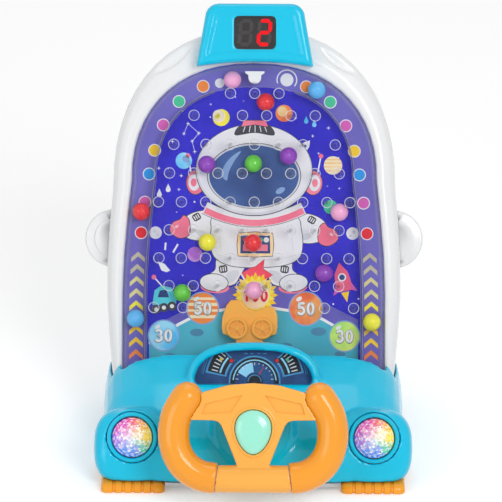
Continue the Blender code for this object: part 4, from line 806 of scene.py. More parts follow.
class Inks(Enum):
    """Every ink that is printed on the machine."""

    WHITE = Ink("ink_white", (0.88, 0.88, 0.9))
    SUIT = Ink("ink_suit_white", (0.86, 0.86, 0.88), (0.78, 0.79, 0.84), 30)
    SHADE = Ink("ink_suit_shade", (0.6, 0.62, 0.7), (0.68, 0.7, 0.76), 30)
    LINE = Ink("ink_dark_line", (0.05, 0.05, 0.07))
    LANE = Ink("ink_lane_violet", (0.14, 0.12, 0.5), (0.17, 0.15, 0.56), 20)
    HILL = Ink("ink_hill_violet", (0.12, 0.1, 0.47), (0.15, 0.13, 0.53), 30)
    TEAL = Ink("ink_ground_teal", (0.05, 0.42, 0.56), (0.1, 0.52, 0.66), 22)
    CRATER = Ink("ink_crater", (0.07, 0.25, 0.42))
    PINK = Ink("ink_pink", (0.86, 0.12, 0.24))
    ROSE = Ink("ink_rose", (0.88, 0.17, 0.27), (0.93, 0.25, 0.36), 40)
    PALE_ROSE = Ink("ink_pale_rose", (0.95, 0.6, 0.66))
    RED = Ink("ink_red", (0.84, 0.02, 0.04))
    FLAG = Ink("ink_flag_red", (0.87, 0.04, 0.09), (0.92, 0.08, 0.14), 50)
    ORANGE = Ink("ink_orange", (0.95, 0.27, 0.05))
    YELLOW = Ink("ink_yellow", (0.97, 0.85, 0.06))
    AMBER = Ink("ink_amber", (0.96, 0.63, 0.03))
    SAND = Ink("ink_sand", (0.56, 0.52, 0.36))
    STRAW = Ink("ink_straw", (0.74, 0.68, 0.3))
    CREAM = Ink("ink_cream", (0.95, 0.82, 0.55))
    GREEN = Ink("ink_green", (0.06, 0.6, 0.33))
    LIME = Ink("ink_lime", (0.4, 0.8, 0.15), (0.75, 0.9, 0.2), 90)
    BLUE = Ink("ink_blue", (0.02, 0.33, 0.85))
    SKY = Ink("ink_sky_blue", (0.05, 0.5, 0.93), (0.35, 0.75, 0.97), 90)
    MAGENTA = Ink("ink_magenta", (0.72, 0.12, 0.5))
    PLUM = Ink("ink_plum", (0.42, 0.14, 0.62), (0.7, 0.4, 0.8), 120)
    CYAN = Ink("ink_cyan", (0.08, 0.62, 0.75), (0.12, 0.7, 0.8), 60)
    JUPITER = Ink("ink_planet_stripe", (0.9, 0.55, 0.2), (0.95, 0.75, 0.45), 120)
    FIRE = Ink("ink_planet_fire", (0.88, 0.16, 0.05), (0.95, 0.42, 0.12), 90)
    VISOR = Ink("ink_visor", (0.02, 0.05, 0.2), (0.05, 0.12, 0.35), 24)
    VISOR_LIGHT = Ink("ink_visor_light", (0.25, 0.4, 0.7))
    GREY = Ink("ink_grey", (0.22, 0.22, 0.24))
    DASH = Ink("ink_dash_navy", (0.012, 0.05, 0.17), (0.02, 0.1, 0.28), 60)
    DASH_PALE = Ink("ink_dash_blue", (0.06, 0.3, 0.6), (0.1, 0.42, 0.72), 90)
    DIAL = Ink("ink_dial_black", (0.012, 0.014, 0.02))
    # a pale blue gauge ink with a faint glow: painted light on a printed dial
    DIAL_LIGHT = Ink("ink_dial_light", (0.3, 0.65, 0.85), None, 60, 0.15)
    LIT = Ink("digit_lit_red", (0.9, 0.0, 0.005), None, 60, 0.8)
    UNLIT = Ink("digit_unlit", (0.13, 0.115, 0.115))

    def made(self) -> bpy.types.Material:
        """Returns the ink's material."""
        return self.value.make()


# ---------------------------------------------------------------- flat prints


def flowing(points: Sequence[Point], between: int = 5) -> list[Point]:
    """Runs a smooth closed line through a few points.

    Args:
        points: The points in order.
        between: How many points replace each.

    Returns:
        The points of the smooth line.
    """
    count, line = len(points), []
    for i in range(count):
        a, b, c, d = (Vector(points[(i + k) % count]) for k in (-1, 0, 1, 2))
        for k in range(between):
            t = k / between
            bend, twist = 2 * a - 5 * b + 4 * c - d, 3 * b - a - 3 * c + d
            place = 0.5 * (2 * b + (c - a) * t + bend * t**2 + twist * t**3)
            line.append((place.x, place.y))
    return line


def in_mm(points: Sequence[Point], side: float = 1.0) -> list[Point]:
    """Turns millimetres to metres, and mirrors the points where side is -1."""
    return [(side * x * MM, y * MM) for x, y in points]


def arc_points(
    x: float, y: float, wide: float, tall: float, start: float, end: float, steps: int = 14
) -> list[Point]:
    """Finds points along an arc.

    Args:
        x: Its middle across.
        y: Its middle up.
        wide: Its half width.
        tall: Its half height.
        start: The angle that it starts at, in degrees from the right.
        end: The angle that it ends at.
        steps: How many stretches it has.

    Returns:
        The points, one more than the stretches.
    """
    points = []
    for k in range(steps + 1):
        angle = math.radians(start + (end - start) * k / steps)
        points.append((x + wide * math.cos(angle), y + tall * math.sin(angle)))
    return points


def star_points(
    x: float, y: float, reach: float, dip: float, tips: int, turn: float = 0.0
) -> list[Point]:
    """Finds the corners of a star.

    Args:
        x: Its middle across.
        y: Its middle up.
        reach: How far its tips are from the middle.
        dip: How far the corners between them are.
        tips: How many tips it has.
        turn: Where the first tip is, in degrees from the right.

    Returns:
        The corners in order.
    """
    points = []
    for k in range(2 * tips):
        radius = dip if k % 2 else reach
        angle = math.pi * k / tips + math.radians(turn)
        points.append((x + radius * math.cos(angle), y + radius * math.sin(angle)))
    return points


def placed(points: Sequence[Point], x: float, y: float, size: float, turn: float) -> list[Point]:
    """Sizes and turns an outline round the origin, then moves it.

    Args:
        points: The outline.
        x: How far it moves across.
        y: How far it moves up.
        size: How much larger it gets.
        turn: How far it is turned, in degrees.

    Returns:
        The outline in its place.
    """
    cos, sin = math.cos(math.radians(turn)), math.sin(math.radians(turn))
    return [(x + size * (a * cos - b * sin), y + size * (a * sin + b * cos)) for a, b in points]


def runs_left(points: Sequence[Point]) -> bool:
    """Returns whether a closed outline runs anticlockwise."""
    ahead = [*points[1:], points[0]]
    return sum(a[0] * b[1] - b[0] * a[1] for a, b in zip(points, ahead)) > 0


def digit_strokes(digit: str) -> list[list[Point]]:
    """Returns the strokes of a digit that is one unit tall and centred on the origin."""
    return {
        "0": [arc_points(0, 0, 0.2, 0.4, 90, 270), arc_points(0, 0, 0.2, 0.4, -90, 90)],
        "1": [[(-0.1, 0.28), (0.02, 0.4)], [(0.03, 0.4), (0.03, -0.4)]],
        "3": [
            arc_points(-0.02, 0.2, 0.2, 0.2, 140, -90),
            arc_points(-0.02, -0.2, 0.22, 0.2, 90, -140),
        ],
        "5": [
            [(0.18, 0.4), (-0.15, 0.4)],
            [(-0.15, 0.4), (-0.18, 0.06)],
            arc_points(-0.02, -0.15, 0.23, 0.25, 130, -140),
        ],
    }[digit]


class Drawing:
    """A flat printed layer, drawn in x and y and raised a hair above its sheet.

    Attributes:
        name: The finished piece's name.
        step: How much each layer stands above the one below.
    """

    def __init__(self, name: str, step: float = 0.018 * MM) -> None:
        """Starts an empty drawing."""
        self.name = name
        self.step = step
        self.parts: list[bpy.types.Object] = []

    def _keep(self, ink: Inks | Finish, layer: float) -> bpy.types.Object:
        """Gives the active flat face its thickness and ink and adds it to the drawing."""
        shape = bpy.context.active_object
        bpy.ops.object.mode_set(mode="EDIT")
        bpy.ops.mesh.select_all(action="SELECT")
        bpy.ops.mesh.extrude_region_move(
            TRANSFORM_OT_translate={"value": (0, 0, self.step * layer)}
        )
        bpy.ops.mesh.select_all(action="SELECT")
        bpy.ops.mesh.normals_make_consistent(inside=False)
        bpy.ops.object.mode_set(mode="OBJECT")
        shape.data.materials.append(ink.made())
        self.parts.append(shape)
        return shape

    def disc(
        self,
        x: float,
        y: float,
        radius: float,
        ink: Inks | Finish,
        layer: float,
        squeeze: float = 1.0,
        turn: float = 0.0,
        steps: int = 28,
    ) -> bpy.types.Object:
        """Draws a disc or an ellipse.

        Args:
            x: Middle across.
            y: Middle up.
            radius: Half width.
            ink: What it is printed in.
            layer: How high it lies in the print.
            squeeze: Its height as a share of its width.
            turn: How far it is turned, in degrees.
            steps: How many sides it has.

        Returns:
            The shape.
        """
        deselect_all()
        bpy.ops.mesh.primitive_circle_add(vertices=steps, radius=radius, fill_type="NGON")
        shape = bpy.context.active_object
        shape.scale = (1, squeeze, 1)
        shape.rotation_euler = (0, 0, math.radians(turn))
        shape.location = (x, y, 0)
        bpy.ops.object.transform_apply(location=True, rotation=True, scale=True)
        return self._keep(ink, layer)

    def polygon(
        self, points: Sequence[Point], ink: Inks | Finish, layer: float
    ) -> bpy.types.Object:
        """Draws a closed outline, starting from a disc with as many sides.

        Args:
            points: The corners in order.
            ink: What it is printed in.
            layer: How high it lies in the print.

        Returns:
            The shape.
        """
        deselect_all()
        ordered = list(points) if runs_left(points) else list(reversed(points))
        bpy.ops.mesh.primitive_circle_add(vertices=len(ordered), radius=MM, fill_type="NGON")
        shape = bpy.context.active_object
        for vertex, (x, y) in zip(shape.data.vertices, ordered):
            vertex.co = (x, y, 0)
        return self._keep(ink, layer)

    def band(
        self,
        line: Sequence[Point],
        width: float,
        ink: Inks | Finish,
        layer: float,
        taper: float = 1.0,
    ) -> bpy.types.Object:
        """Draws a stripe along a line.

        Args:
            line: The stripe's middle line.
            width: Its width at the start.
            ink: What it is printed in.
            layer: How high it lies in the print.
            taper: Its width at the end as a share of that at the start.

        Returns:
            The shape.
        """
        left, right = [], []
        count = len(line)
        for i, (x, y) in enumerate(line):
            ahead = Vector(line[min(i + 1, count - 1)]) - Vector(line[max(i - 1, 0)])
            side = Vector((-ahead.y, ahead.x)).normalized()
            half = width / 2 * (1 + (taper - 1) * i / max(count - 1, 1))
            left.append((x + side.x * half, y + side.y * half))
            right.append((x - side.x * half, y - side.y * half))
        return self.polygon(left + right[::-1], ink, layer)

    def arc(
        self,
        x: float,
        y: float,
        radius: float,
        width: float,
        ink: Inks | Finish,
        layer: float,
        start: float,
        end: float,
        steps: int = 32,
    ) -> bpy.types.Object:
        """Draws an arc as a stripe.

        Args:
            x: Middle across.
            y: Middle up.
            radius: Radius of the stripe's middle line.
            width: The stripe's width.
            ink: What it is printed in.
            layer: How high it lies in the print.
            start: Where it starts, in degrees from +x.
            end: Where it ends.
            steps: How many stretches it has.

        Returns:
            The shape.
        """
        line = arc_points(x, y, radius, radius, start, end, steps)
        return self.band(line, width, ink, layer)

    def outlined(
        self, points: Sequence[Point], ink: Inks | Finish, layer: float, edge: float = 0.5 * MM
    ) -> None:
        """Draws a closed outline with a thin dark line round it.

        Args:
            points: The corners in order.
            ink: What it is printed in.
            layer: How high it lies in the print.
            edge: The line's width.
        """
        count = len(points)
        out = edge if runs_left(points) else -edge
        wider = []
        for i, (x, y) in enumerate(points):
            ahead = Vector(points[(i + 1) % count]) - Vector(points[i - 1])
            side = Vector((ahead.y, -ahead.x)).normalized() * out
            wider.append((x + side.x, y + side.y))
        self.polygon(wider, Inks.LINE, layer)
        self.polygon(points, ink, layer + 0.5)

    def oval(
        self,
        x: float,
        y: float,
        radius: float,
        ink: Inks | Finish,
        layer: float,
        squeeze: float = 1.0,
        turn: float = 0.0,
        steps: int = 36,
    ) -> None:
        """Draws an ellipse with a thin dark line round it, from the same values as a disc."""
        points = arc_points(0, 0, radius, radius * squeeze, 0, 360, steps)[:-1]
        self.outlined(placed(points, x, y, 1, turn), ink, layer)

    def digits(
        self,
        text: str,
        x: float,
        y: float,
        height: float,
        ink: Inks | Finish,
        layer: float,
        thick: float = 0.17,
    ) -> None:
        """Prints a plain round-ended number, centred on a point.

        Args:
            text: The number.
            x: Middle across.
            y: Middle up.
            height: The digits' height.
            ink: What it is printed in.
            layer: How high it lies in the print.
            thick: The strokes' width as a share of the height.
        """
        pitch = height * 0.7
        start = x - pitch * (len(text) - 1) / 2
        for i, digit in enumerate(text):
            for stroke in digit_strokes(digit):
                line = [(start + (i * pitch) + a * height, y + b * height) for a, b in stroke]
                self.band(line, thick * height, ink, layer)
                for knot in (line[0], line[-1]):
                    self.disc(*knot, thick * height / 2, ink, layer + 0.05, steps=14)

    def lay(self, place: Matrix) -> bpy.types.Object:
        """Joins the drawing and lays it in place.

        Args:
            place: Matrix from the drawing to the row frame.

        Returns:
            The finished piece.
        """
        piece = join_pieces(self.parts, self.name)
        return finish_place(piece, place)


# the bars of a seven-bar digit that are lit, by their usual letters
SEGMENTS = {"2": "abged", "8": "abcdefg"}


def segment_outline(bar: str, height: float, width: float, thick: float) -> list[Point]:
    """Finds one bar of a seven-bar digit that is centred on the origin.

    Args:
        bar: The bar's usual letter, a to g.
        height: The digit's height.
        width: The digit's width.
        thick: The bars' thickness.

    Returns:
        The bar's outline.
    """
    half_w, half_h, t = (width - thick) / 2, (height - thick) / 2, thick / 2
    gap = thick * 0.08
    across = {"a": half_h, "g": 0.0, "d": -half_h}
    if bar in across:
        y, end = across[bar], half_w - gap
        return [
            (-end, y), (-end + t, y - t), (end - t, y - t),
            (end, y), (end - t, y + t), (-end + t, y + t),
        ]
    side = half_w if bar in "bc" else -half_w
    low, high = (gap, half_h - gap) if bar in "bf" else (-half_h + gap, -gap)
    return [
        (side, low), (side + t, low + t), (side + t, high - t),
        (side, high), (side - t, high - t), (side - t, low + t),
    ]


# ---------------------------------------------------------------- shapes shared with the frame


@dataclass(frozen=True)
class Arch:
    """An outline of the upper unit: straight feet that flare a little, under a rounded cap."""

    half_width: float
    cap_v: float
    cap_height: float
    flare: float
    flare_span: float
    power: float = 2.3

    def side(self, v: float) -> float:
        """Returns the half width at a height below the cap."""
        drop = max(self.cap_v - v, 0.0)
        return self.half_width + self.flare * math.sin(math.pi / 2 * min(1, drop / self.flare_span))

    def outline(self, inset: float, bottom: float, cap: int = 40, sides: int = 16) -> list[Point]:
        """Finds the outline, moved in by an inset.

        Args:
            inset: How far it is moved in.
            bottom: Height of its feet.
            cap: How many stretches the cap has.
            sides: How many stretches each side has.

        Returns:
            Points from the right foot up and over to the left foot.
        """
        right = []
        for i in range(sides):
            v = bottom + (self.cap_v - bottom) * i / sides
            right.append((self.side(v) - inset, v))
        over = []
        for i in range(cap + 1):
            angle = math.pi * i / cap
            across = math.copysign(abs(math.cos(angle)) ** (2 / self.power), math.cos(angle))
            rise = abs(math.sin(angle)) ** (2 / self.power)
            over.append(
                ((self.half_width - inset) * across, self.cap_v + (self.cap_height - inset) * rise)
            )
        return right + over + [(-x, v) for x, v in reversed(right)]


COVER_ARCH = Arch(81.7 * MM, 208.4 * MM, 79.7 * MM, 5.7 * MM, 78 * MM)
COVER_INNER_W = 12.8 * MM
LANE_INSET = 14.6 * MM
RAIL_WIDTH = 1.4 * MM
UNIT_FOOT = 60 * MM
STEERING_V = 44.9 * MM


class Assembly:
    """What every sub-assembly of the machine shares.

    Attributes:
        nodes: The frame's CAD nodes by name.
        board: The board frame.
    """

    def __init__(self, frame: dict, board: BoardFrame) -> None:
        """Keeps the frame's nodes and the board frame."""
        self.nodes = frame["nodes"]
        self.board = board

    def dress(self, node: str, finish: Finish | Inks) -> None:
        """Gives a CAD node that stays in view its finish."""
        mesh = self.nodes[node].data
        mesh.materials.clear()
        mesh.materials.append(finish.made())
        LOG.info("kept %s in %s", node, finish.name)

    def stand_in(
        self,
        piece: bpy.types.Object,
        body: str,
        slot: str | None = None,
        replaced: Sequence[str] = (),
    ) -> bpy.types.Object:
        """Puts a piece on its body and hides the CAD nodes that it stands for.

        Args:
            piece: The finished piece.
            body: The CAD body that it rides on.
            slot: The record's material slot, if it has one. Not used.
            replaced: CAD nodes that it stands for.

        Returns:
            The piece.
        """
        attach(piece, body)
        if replaced:
            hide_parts(*replaced)
        LOG.info("built %s on %s", piece.name, body)
        return piece

    def refined(
        self,
        node: str,
        name: str,
        body: str,
        slot: str,
        finish: Finish,
        shape: Callable[[bpy.types.Object], bpy.types.Object] = crisp,
    ) -> bpy.types.Object:
        """Replaces a CAD node with a merged and reshaded copy.

        Args:
            node: The CAD node.
            name: The new piece's name.
            body: The body that it rides on.
            slot: The record's material slot, passed on to stand_in, which does not use it.
            finish: What it is made of.
            shape: What finishes its mesh.

        Returns:
            The new piece.
        """
        piece = shape(copy_node(self.nodes, node, name))
        piece.data.materials.append(finish.made())
        return self.stand_in(piece, body, slot, [node])


# ---------------------------------------------------------------- upper unit


class UpperShell(Assembly):
    """The white front frame, rear housing, ears and lane divider."""

    def build(self) -> None:
        """Builds and dresses every piece of the shell."""
        for node, name in (
            ("rear_housing", "rear_shell"),
            ("ear_left", "left_ear"),
            ("ear_right", "right_ear"),
            ("top_divider", "lane_divider"),
        ):
            self.refined(node, name, "machine", "white_plastic", Finish.WHITE)
        self.refined(
            "front_frame",
            "front_shell",
            "machine",
            "white_plastic",
            Finish.WHITE,
            lambda piece: fused(piece, MM, 4),
        )
        for side in ("left", "right"):
            self.dress(f"housing_screw_{side}", Finish.STEEL)
        self.dress("main_board", Finish.BOARD)
        self.refined(
            "power_switch",
            "power_slider",
            "switch",
            "black_plastic",
            Finish.BLACK,
            lambda piece: soften_edges(piece, 0.35 * MM),
        )


@dataclass(frozen=True)
class LaneMark:
    """A coloured dot on both lanes."""

    x: float
    v: float
    ink: Inks


class PlayBoard(Assembly):
    """The printed board behind the balls: lanes, sky, ground and scoring bubbles."""

    lane_marks = (
        LaneMark(34.6 * MM, 273.0 * MM, Inks.ORANGE),
        LaneMark(50.7 * MM, 262.8 * MM, Inks.GREEN),
        LaneMark(61.2 * MM, 247.0 * MM, Inks.MAGENTA),
        LaneMark(66.9 * MM, 230.0 * MM, Inks.AMBER),
        LaneMark(70.5 * MM, 214.1 * MM, Inks.BLUE),
        LaneMark(73.3 * MM, 195.2 * MM, Inks.MAGENTA),
        LaneMark(75.7 * MM, 174.7 * MM, Inks.RED),
    )

    def build(self) -> None:
        """Dresses the board and prints it."""
        self.dress("play_board", Finish.SKY)
        art = Drawing("board_print")
        self._lanes(art)
        self._ground(art)
        self._planets(art)
        self._suit(art)
        self._rover(art)
        self._rocket(art)
        self._bubbles(art)
        piece = art.lay(self.board.matrix(w=PRINT_LIFT))
        self.stand_in(piece, "machine", "board_print")

    def _lanes(self, art: Drawing) -> None:
        """Prints the violet lanes, their dots and their arrows."""
        outer = COVER_ARCH.outline(0.4 * MM, 70 * MM)
        inner = COVER_ARCH.outline(LANE_INSET + RAIL_WIDTH / 2, 70 * MM)
        art.polygon(outer + inner[::-1], Inks.LANE, 1)
        for mark in self.lane_marks:
            for side in (-1, 1):
                art.disc(side * mark.x, mark.v, 4.3 * MM, Inks.WHITE, 2)
                art.disc(side * mark.x, mark.v, 3.7 * MM, mark.ink, 3)
        arrows = (
            Inks.SAND, Inks.SAND, Inks.STRAW, Inks.STRAW, Inks.YELLOW,
            Inks.YELLOW, Inks.AMBER, Inks.AMBER, Inks.ORANGE, Inks.ORANGE,
        )
        half, drop, thick = 4.6 * MM, 4.0 * MM, 3.1 * MM
        for i, ink in enumerate(arrows):
            top = (162.0 - 8.15 * i) * MM
            x = COVER_ARCH.side(top) - 8.6 * MM
            for side in (-1, 1):
                points = [
                    (0, 0), (half, -drop), (half, -drop - thick),
                    (0, -thick), (-half, -drop - thick), (-half, -drop),
                ]
                art.polygon([(side * x + a, top + b) for a, b in points], ink, 2)

    def _ground(self, art: Drawing) -> None:
        """Prints the violet hills and the teal moon ground with its craters."""
        floor = 78 * MM
        hills = [
            (-70, 111), (-60, 116), (-50, 121), (-39, 127), (-28, 133), (-17, 138), (-8, 140.5),
            (0, 141), (9, 140.5), (19, 138), (30, 134), (46, 129), (60, 122), (70, 117),
        ]
        scaled = in_mm(hills)
        art.polygon([(-70 * MM, floor), *scaled, (70 * MM, floor)], Inks.HILL, 1)
        arc = [
            (-70, 100.5), (-64, 105), (-56.3, 109.7), (-50, 113.6), (-43.6, 116.9), (-34, 120.3),
            (-23.7, 122.8), (-12, 124.6), (0.7, 125.3), (13, 124.6), (25.1, 122.8), (36, 120.5),
            (45.9, 117.4), (54.9, 112.4), (63, 107.5), (70, 102),
        ]
        edge = in_mm(arc)
        art.polygon([(-70 * MM, floor), *edge, (70 * MM, floor)], Inks.TEAL, 2)
        art.band(edge, 1.9 * MM, Inks.WHITE, 3)
        craters = (
            (-38, 108, 4.6), (43.5, 109, 5.2), (-18, 98, 5.5),
            (22, 99, 4.2), (-56, 92, 4), (58, 94, 3.6),
        )
        for x, v, radius in craters:
            art.disc(x * MM, v * MM, radius * MM, Inks.CRATER, 3, 0.55)

    def _planets(self, art: Drawing) -> None:
        """Prints planets, a small constellation and drops of light."""
        art.disc(-22.4 * MM, 252.1 * MM, 5.7 * MM, Inks.YELLOW, 2)
        art.disc(-23.9 * MM, 253.0 * MM, 4.2 * MM, Inks.CREAM, 3)
        art.disc(-24.9 * MM, 252.9 * MM, 1.8 * MM, Inks.YELLOW, 4)
        art.disc(-47.3 * MM, 223.1 * MM, 5.5 * MM, Inks.SKY, 2)
        art.disc(-45.9 * MM, 224.4 * MM, 2.4 * MM, Inks.VISOR_LIGHT, 3)
        art.disc(19.7 * MM, 255.2 * MM, 5.7 * MM, Inks.FIRE, 2)
        art.disc(18.6 * MM, 256.4 * MM, 3.4 * MM, Inks.JUPITER, 3)
        self._striped(art, 52.7 * MM, 220.4 * MM, 6.2 * MM, Inks.CREAM, Inks.JUPITER, 2)
        art.disc(-39.6 * MM, 160.4 * MM, 5.0 * MM, Inks.PLUM, 2)
        art.disc(51.3 * MM, 192.5 * MM, 4.7 * MM, Inks.GREEN, 2)
        for side in (-1, 1):
            art.disc(side * 66.0 * MM, 174.8 * MM, 4.2 * MM, Inks.SUIT, 2)
            art.disc(side * 66.8 * MM, 175.8 * MM, 1.1 * MM, Inks.SHADE, 3)
            art.disc(side * 64.6 * MM, 173.3 * MM, 0.8 * MM, Inks.SHADE, 3)
        art.disc(21.5 * MM, 277.6 * MM, 4.4 * MM, Inks.SUIT, 3)
        art.arc(21.5 * MM, 277.6 * MM, 6.6 * MM, 0.8 * MM, Inks.SUIT, 4, -40, 200)
        art.disc(-23.5 * MM, 275.2 * MM, 3.2 * MM, Inks.SUIT, 3)
        knots = [(-44.6, 248.0), (-47.3, 241.2), (-37.3, 241.6), (-41.8, 236.2), (-40.0, 229.2)]
        links = ((1, 0), (0, 2), (2, 3), (3, 4))
        for x, v in knots:
            self._star(art, x * MM, v * MM, 1.5 * MM, Inks.WHITE, 3)
        for a, b in links:
            art.band(in_mm((knots[a], knots[b])), 0.28 * MM, Inks.WHITE, 2)
        for x, v in ((34.6, 249.8), (40.0, 247.5)):
            self._drop(art, x * MM, v * MM, 1.5 * MM, Inks.SKY)
        for x, v in ((-63.6, 200.3), (-57.7, 203.7)):
            self._drop(art, x * MM, v * MM, 1.7 * MM, Inks.WHITE)
        for a, b in (((-59.2, 168.2), (-59.6, 163.2)), ((-51.0, 167.2), (-54.2, 161.6))):
            art.band(in_mm((a, b)), 1.2 * MM, Inks.WHITE, 2)
        tail = [(-64.5, 155.5), (-60.0, 154.0), (-56.0, 149.5), (-58.5, 148.3), (-62.0, 149.5)]
        art.polygon(in_mm(tail), Inks.WHITE, 2)
        stars = (
            (-29.4, 261), (27.5, 252), (49.5, 245.5), (43, 228.5), (-23, 241),
            (-55, 236), (63, 233), (-50.5, 203.8), (-49, 213), (-13, 266),
            (39, 240), (-64, 218), (57, 205), (43, 184),
        )
        for i, (x, v) in enumerate(stars):
            self._star(art, x * MM, v * MM, (1.0 + 0.25 * (i % 3)) * MM, Inks.WHITE, 2)

    @staticmethod
    def _star(art: Drawing, x: float, v: float, size: float, ink: Inks, layer: float) -> None:
        """Prints a four-pointed star."""
        art.polygon(star_points(x, v, size, 0.28 * size, 4), ink, layer)

    @staticmethod
    def _drop(art: Drawing, x: float, v: float, size: float, ink: Inks) -> None:
        """Prints a drop with its point up."""
        art.polygon([(x, v + 2.4 * size), *arc_points(x, v, size, size, 150, 390, 8)], ink, 2)

    @staticmethod
    def _striped(
        art: Drawing, x: float, v: float, radius: float, ground: Inks, stripe: Inks, layer: float
    ) -> None:
        """Prints a planet with level stripes.

        Args:
            art: The drawing.
            x: Middle across.
            v: Middle up.
            radius: The planet's radius.
            ground: Its own ink.
            stripe: The stripes' ink.
            layer: The planet's layer.
        """
        art.disc(x, v, radius, ground, layer)
        for level, thick in ((0.62, 0.16), (0.25, 0.2), (-0.15, 0.15), (-0.55, 0.2)):
            low, high = level - thick / 2, level + thick / 2
            points = []
            for a, sign in ((low, -1), (low, 1), (high, 1), (high, -1)):
                reach = sign * radius * 0.99 * math.sqrt(1 - a * a)
                points.append((x + reach, v + radius * a))
            art.polygon(points, stripe, layer + 1)

    def _suit(self, art: Drawing) -> None:
        """Prints the big spacesuit with its blank visor."""
        white, shade, line, rose = Inks.SUIT, Inks.SHADE, Inks.LINE, Inks.ROSE
        leg = [
            (-5, 158), (-23.5, 158), (-26, 150), (-32.5, 145),
            (-32, 139.8), (-15, 139.8), (-9.5, 146),
        ]
        shin = [(-9.7, 149.5), (-13.5, 142.5), (-20, 141.5), (-17, 148.5)]
        arm = [
            (-27, 188.4), (-39.5, 188.6), (-48.2, 182.4),
            (-46.5, 172.6), (-35, 169.8), (-26, 174.4),
        ]
        sleeve = [(-40, 176.4), (-35.5, 172.2), (-30.5, 172), (-34, 176.2)]
        glove = [
            (-43.6, 182), (-47, 185.6), (-49.5, 183), (-54.5, 180.5),
            (-56.2, 175), (-50, 170.6), (-43.5, 173),
        ]
        for side in (1, -1):
            art.disc(side * -26.1 * MM, 138.4 * MM, 9.6 * MM, rose, 1.5, 0.42, side * -3)
            art.outlined(flowing(in_mm(leg, side)), white, 2)
            art.polygon(flowing(in_mm(shin, side)), shade, 3)
            art.oval(side * -26.7 * MM, 141.6 * MM, 9.3 * MM, white, 3.2, 0.6, side * -4)
            self._badge(art, side * -20.6 * MM, 150.6 * MM, 5.6 * MM, side * 8)
            drop = 0.0 if side > 0 else -1.6
            art.outlined(flowing(in_mm([(x, v + drop) for x, v in arm], side)), white, 2)
            art.polygon(flowing(in_mm([(x, v + drop) for x, v in sleeve], side)), shade, 3)
            self._badge(art, side * -38.6 * MM, (185.4 + drop) * MM, 5.4 * MM, side * 30)
            lift = 0.8 if side > 0 else -4.0
            art.outlined(flowing(in_mm([(x, v + lift) for x, v in glove], side)), rose, 4)
            palm = (side * -51.8 * MM, (178.2 + lift) * MM)
            art.disc(*palm, 1.4 * MM, Inks.PALE_ROSE, 5, 0.6, side * 40)
        trunk = [
            (-26, 186), (0, 184), (27, 186), (31.5, 177), (32.4, 167), (30.5, 159), (23, 154.2),
            (10, 152.2), (-8, 152), (-19, 154), (-26.5, 159), (-29, 167), (-28.6, 177),
        ]
        art.outlined(flowing(in_mm(trunk)), white, 3.8)
        fold = [(-25.5, 160.5), (-14, 157.4), (0, 156.6), (16, 157.2), (28.5, 160.2)]
        art.band(in_mm(fold), 0.5 * MM, shade, 4.6)
        for x in (-22.5, 26.0):
            art.band(in_mm([(x, 178), (x - 0.6, 170), (x + 0.4, 163)]), 0.45 * MM, shade, 4.6)
        panel = [
            (-10.6, 174.6), (0.8, 175.4), (12.4, 174.6), (13, 167),
            (12.4, 159.6), (0.8, 159), (-10.6, 159.6), (-11.2, 167),
        ]
        art.outlined(in_mm(panel), Inks.JUPITER, 5)
        face = [(-8.9, 173.2), (10.6, 173.2), (10.9, 161.2), (-9.2, 161.2)]
        art.polygon(in_mm(face), Inks.VISOR, 5.8)
        for x, ink in ((-5.8, Inks.RED), (-0.6, Inks.YELLOW), (4.6, Inks.GREEN)):
            art.disc(x * MM, 170.3 * MM, 1.6 * MM, ink, 6.2)
        art.polygon(in_mm([(-7.4, 167.2), (9.2, 167.2), (9.2, 162.8), (-7.4, 162.8)]), rose, 6.2)
        art.disc(8.2 * MM, 170.3 * MM, 1.8 * MM, Inks.WHITE, 6.2)
        for side in (-1, 1):
            pod = side * 39.4 * MM
            art.oval(pod, 208.6 * MM, 6.0 * MM, rose, 2, 1.32)
            art.disc(pod + side * 0.9 * MM, 208.6 * MM, 3.9 * MM, white, 3, 1.42)
            art.disc(pod + side * 1.2 * MM, 208.6 * MM, 2.0 * MM, rose, 4, 1.4)
            mast = [(side * 42.4 * MM, 215 * MM), (side * 44.4 * MM, 225.5 * MM)]
            art.band(mast, 0.9 * MM, white, 2)
            art.disc(side * 44.6 * MM, 226.6 * MM, 1.6 * MM, rose, 3)
        collar = []
        for i in range(17):
            x = (-33 + 66 * i / 16) * MM
            collar.append((x, (183.2 + 8.5 * (x / (33 * MM)) ** 2) * MM))
        art.band(collar, 9.0 * MM, line, 4.8)
        art.band(collar, 8.2 * MM, white, 5)
        art.band([(x, v - 1.6 * MM) for x, v in collar], 4.2 * MM, rose, 5.5)
        art.disc(-0.2 * MM, 217.1 * MM, 39.4 * MM, line, 6, 0.785, steps=56)
        art.disc(-0.2 * MM, 217.2 * MM, 38.9 * MM, shade, 6.5, 0.782, steps=56)
        art.disc(-0.2 * MM, 218.0 * MM, 38.0 * MM, white, 7, 0.775, steps=56)
        hatch = [(-13, 240.5), (-9.5, 247), (0, 248.8), (9.8, 247), (13, 240.5), (0, 242.2)]
        art.outlined(flowing(in_mm(hatch)), line, 7.6, 0.2 * MM)
        for x in (-7.6, -3.6, 0.4, 4.4, 8.2):
            art.band(in_mm([(0.78 * x, 247.2), (x, 242.6)]), 0.5 * MM, white, 8.4)
        cap = [(-8.8, 246.2), (-7.2, 250.2), (7.4, 250.2), (9.0, 246.2), (0, 247.6)]
        art.outlined(in_mm(cap), rose, 8.6)
        art.disc(-0.2 * MM, 213.2 * MM, 31.6 * MM, line, 8, 0.7, steps=56)
        art.disc(-0.2 * MM, 213.1 * MM, 31.1 * MM, shade, 8.4, 0.7, steps=56)
        art.disc(-0.2 * MM, 213.0 * MM, 30.0 * MM, Inks.VISOR, 9, 0.69, steps=56)
        glint = [
            (-22, 214), (-19.5, 221), (-14, 227), (-9, 229.6),
            (-13.5, 223), (-17, 216), (-18.5, 210),
        ]
        art.polygon(flowing(in_mm(glint)), Inks.VISOR_LIGHT, 10)
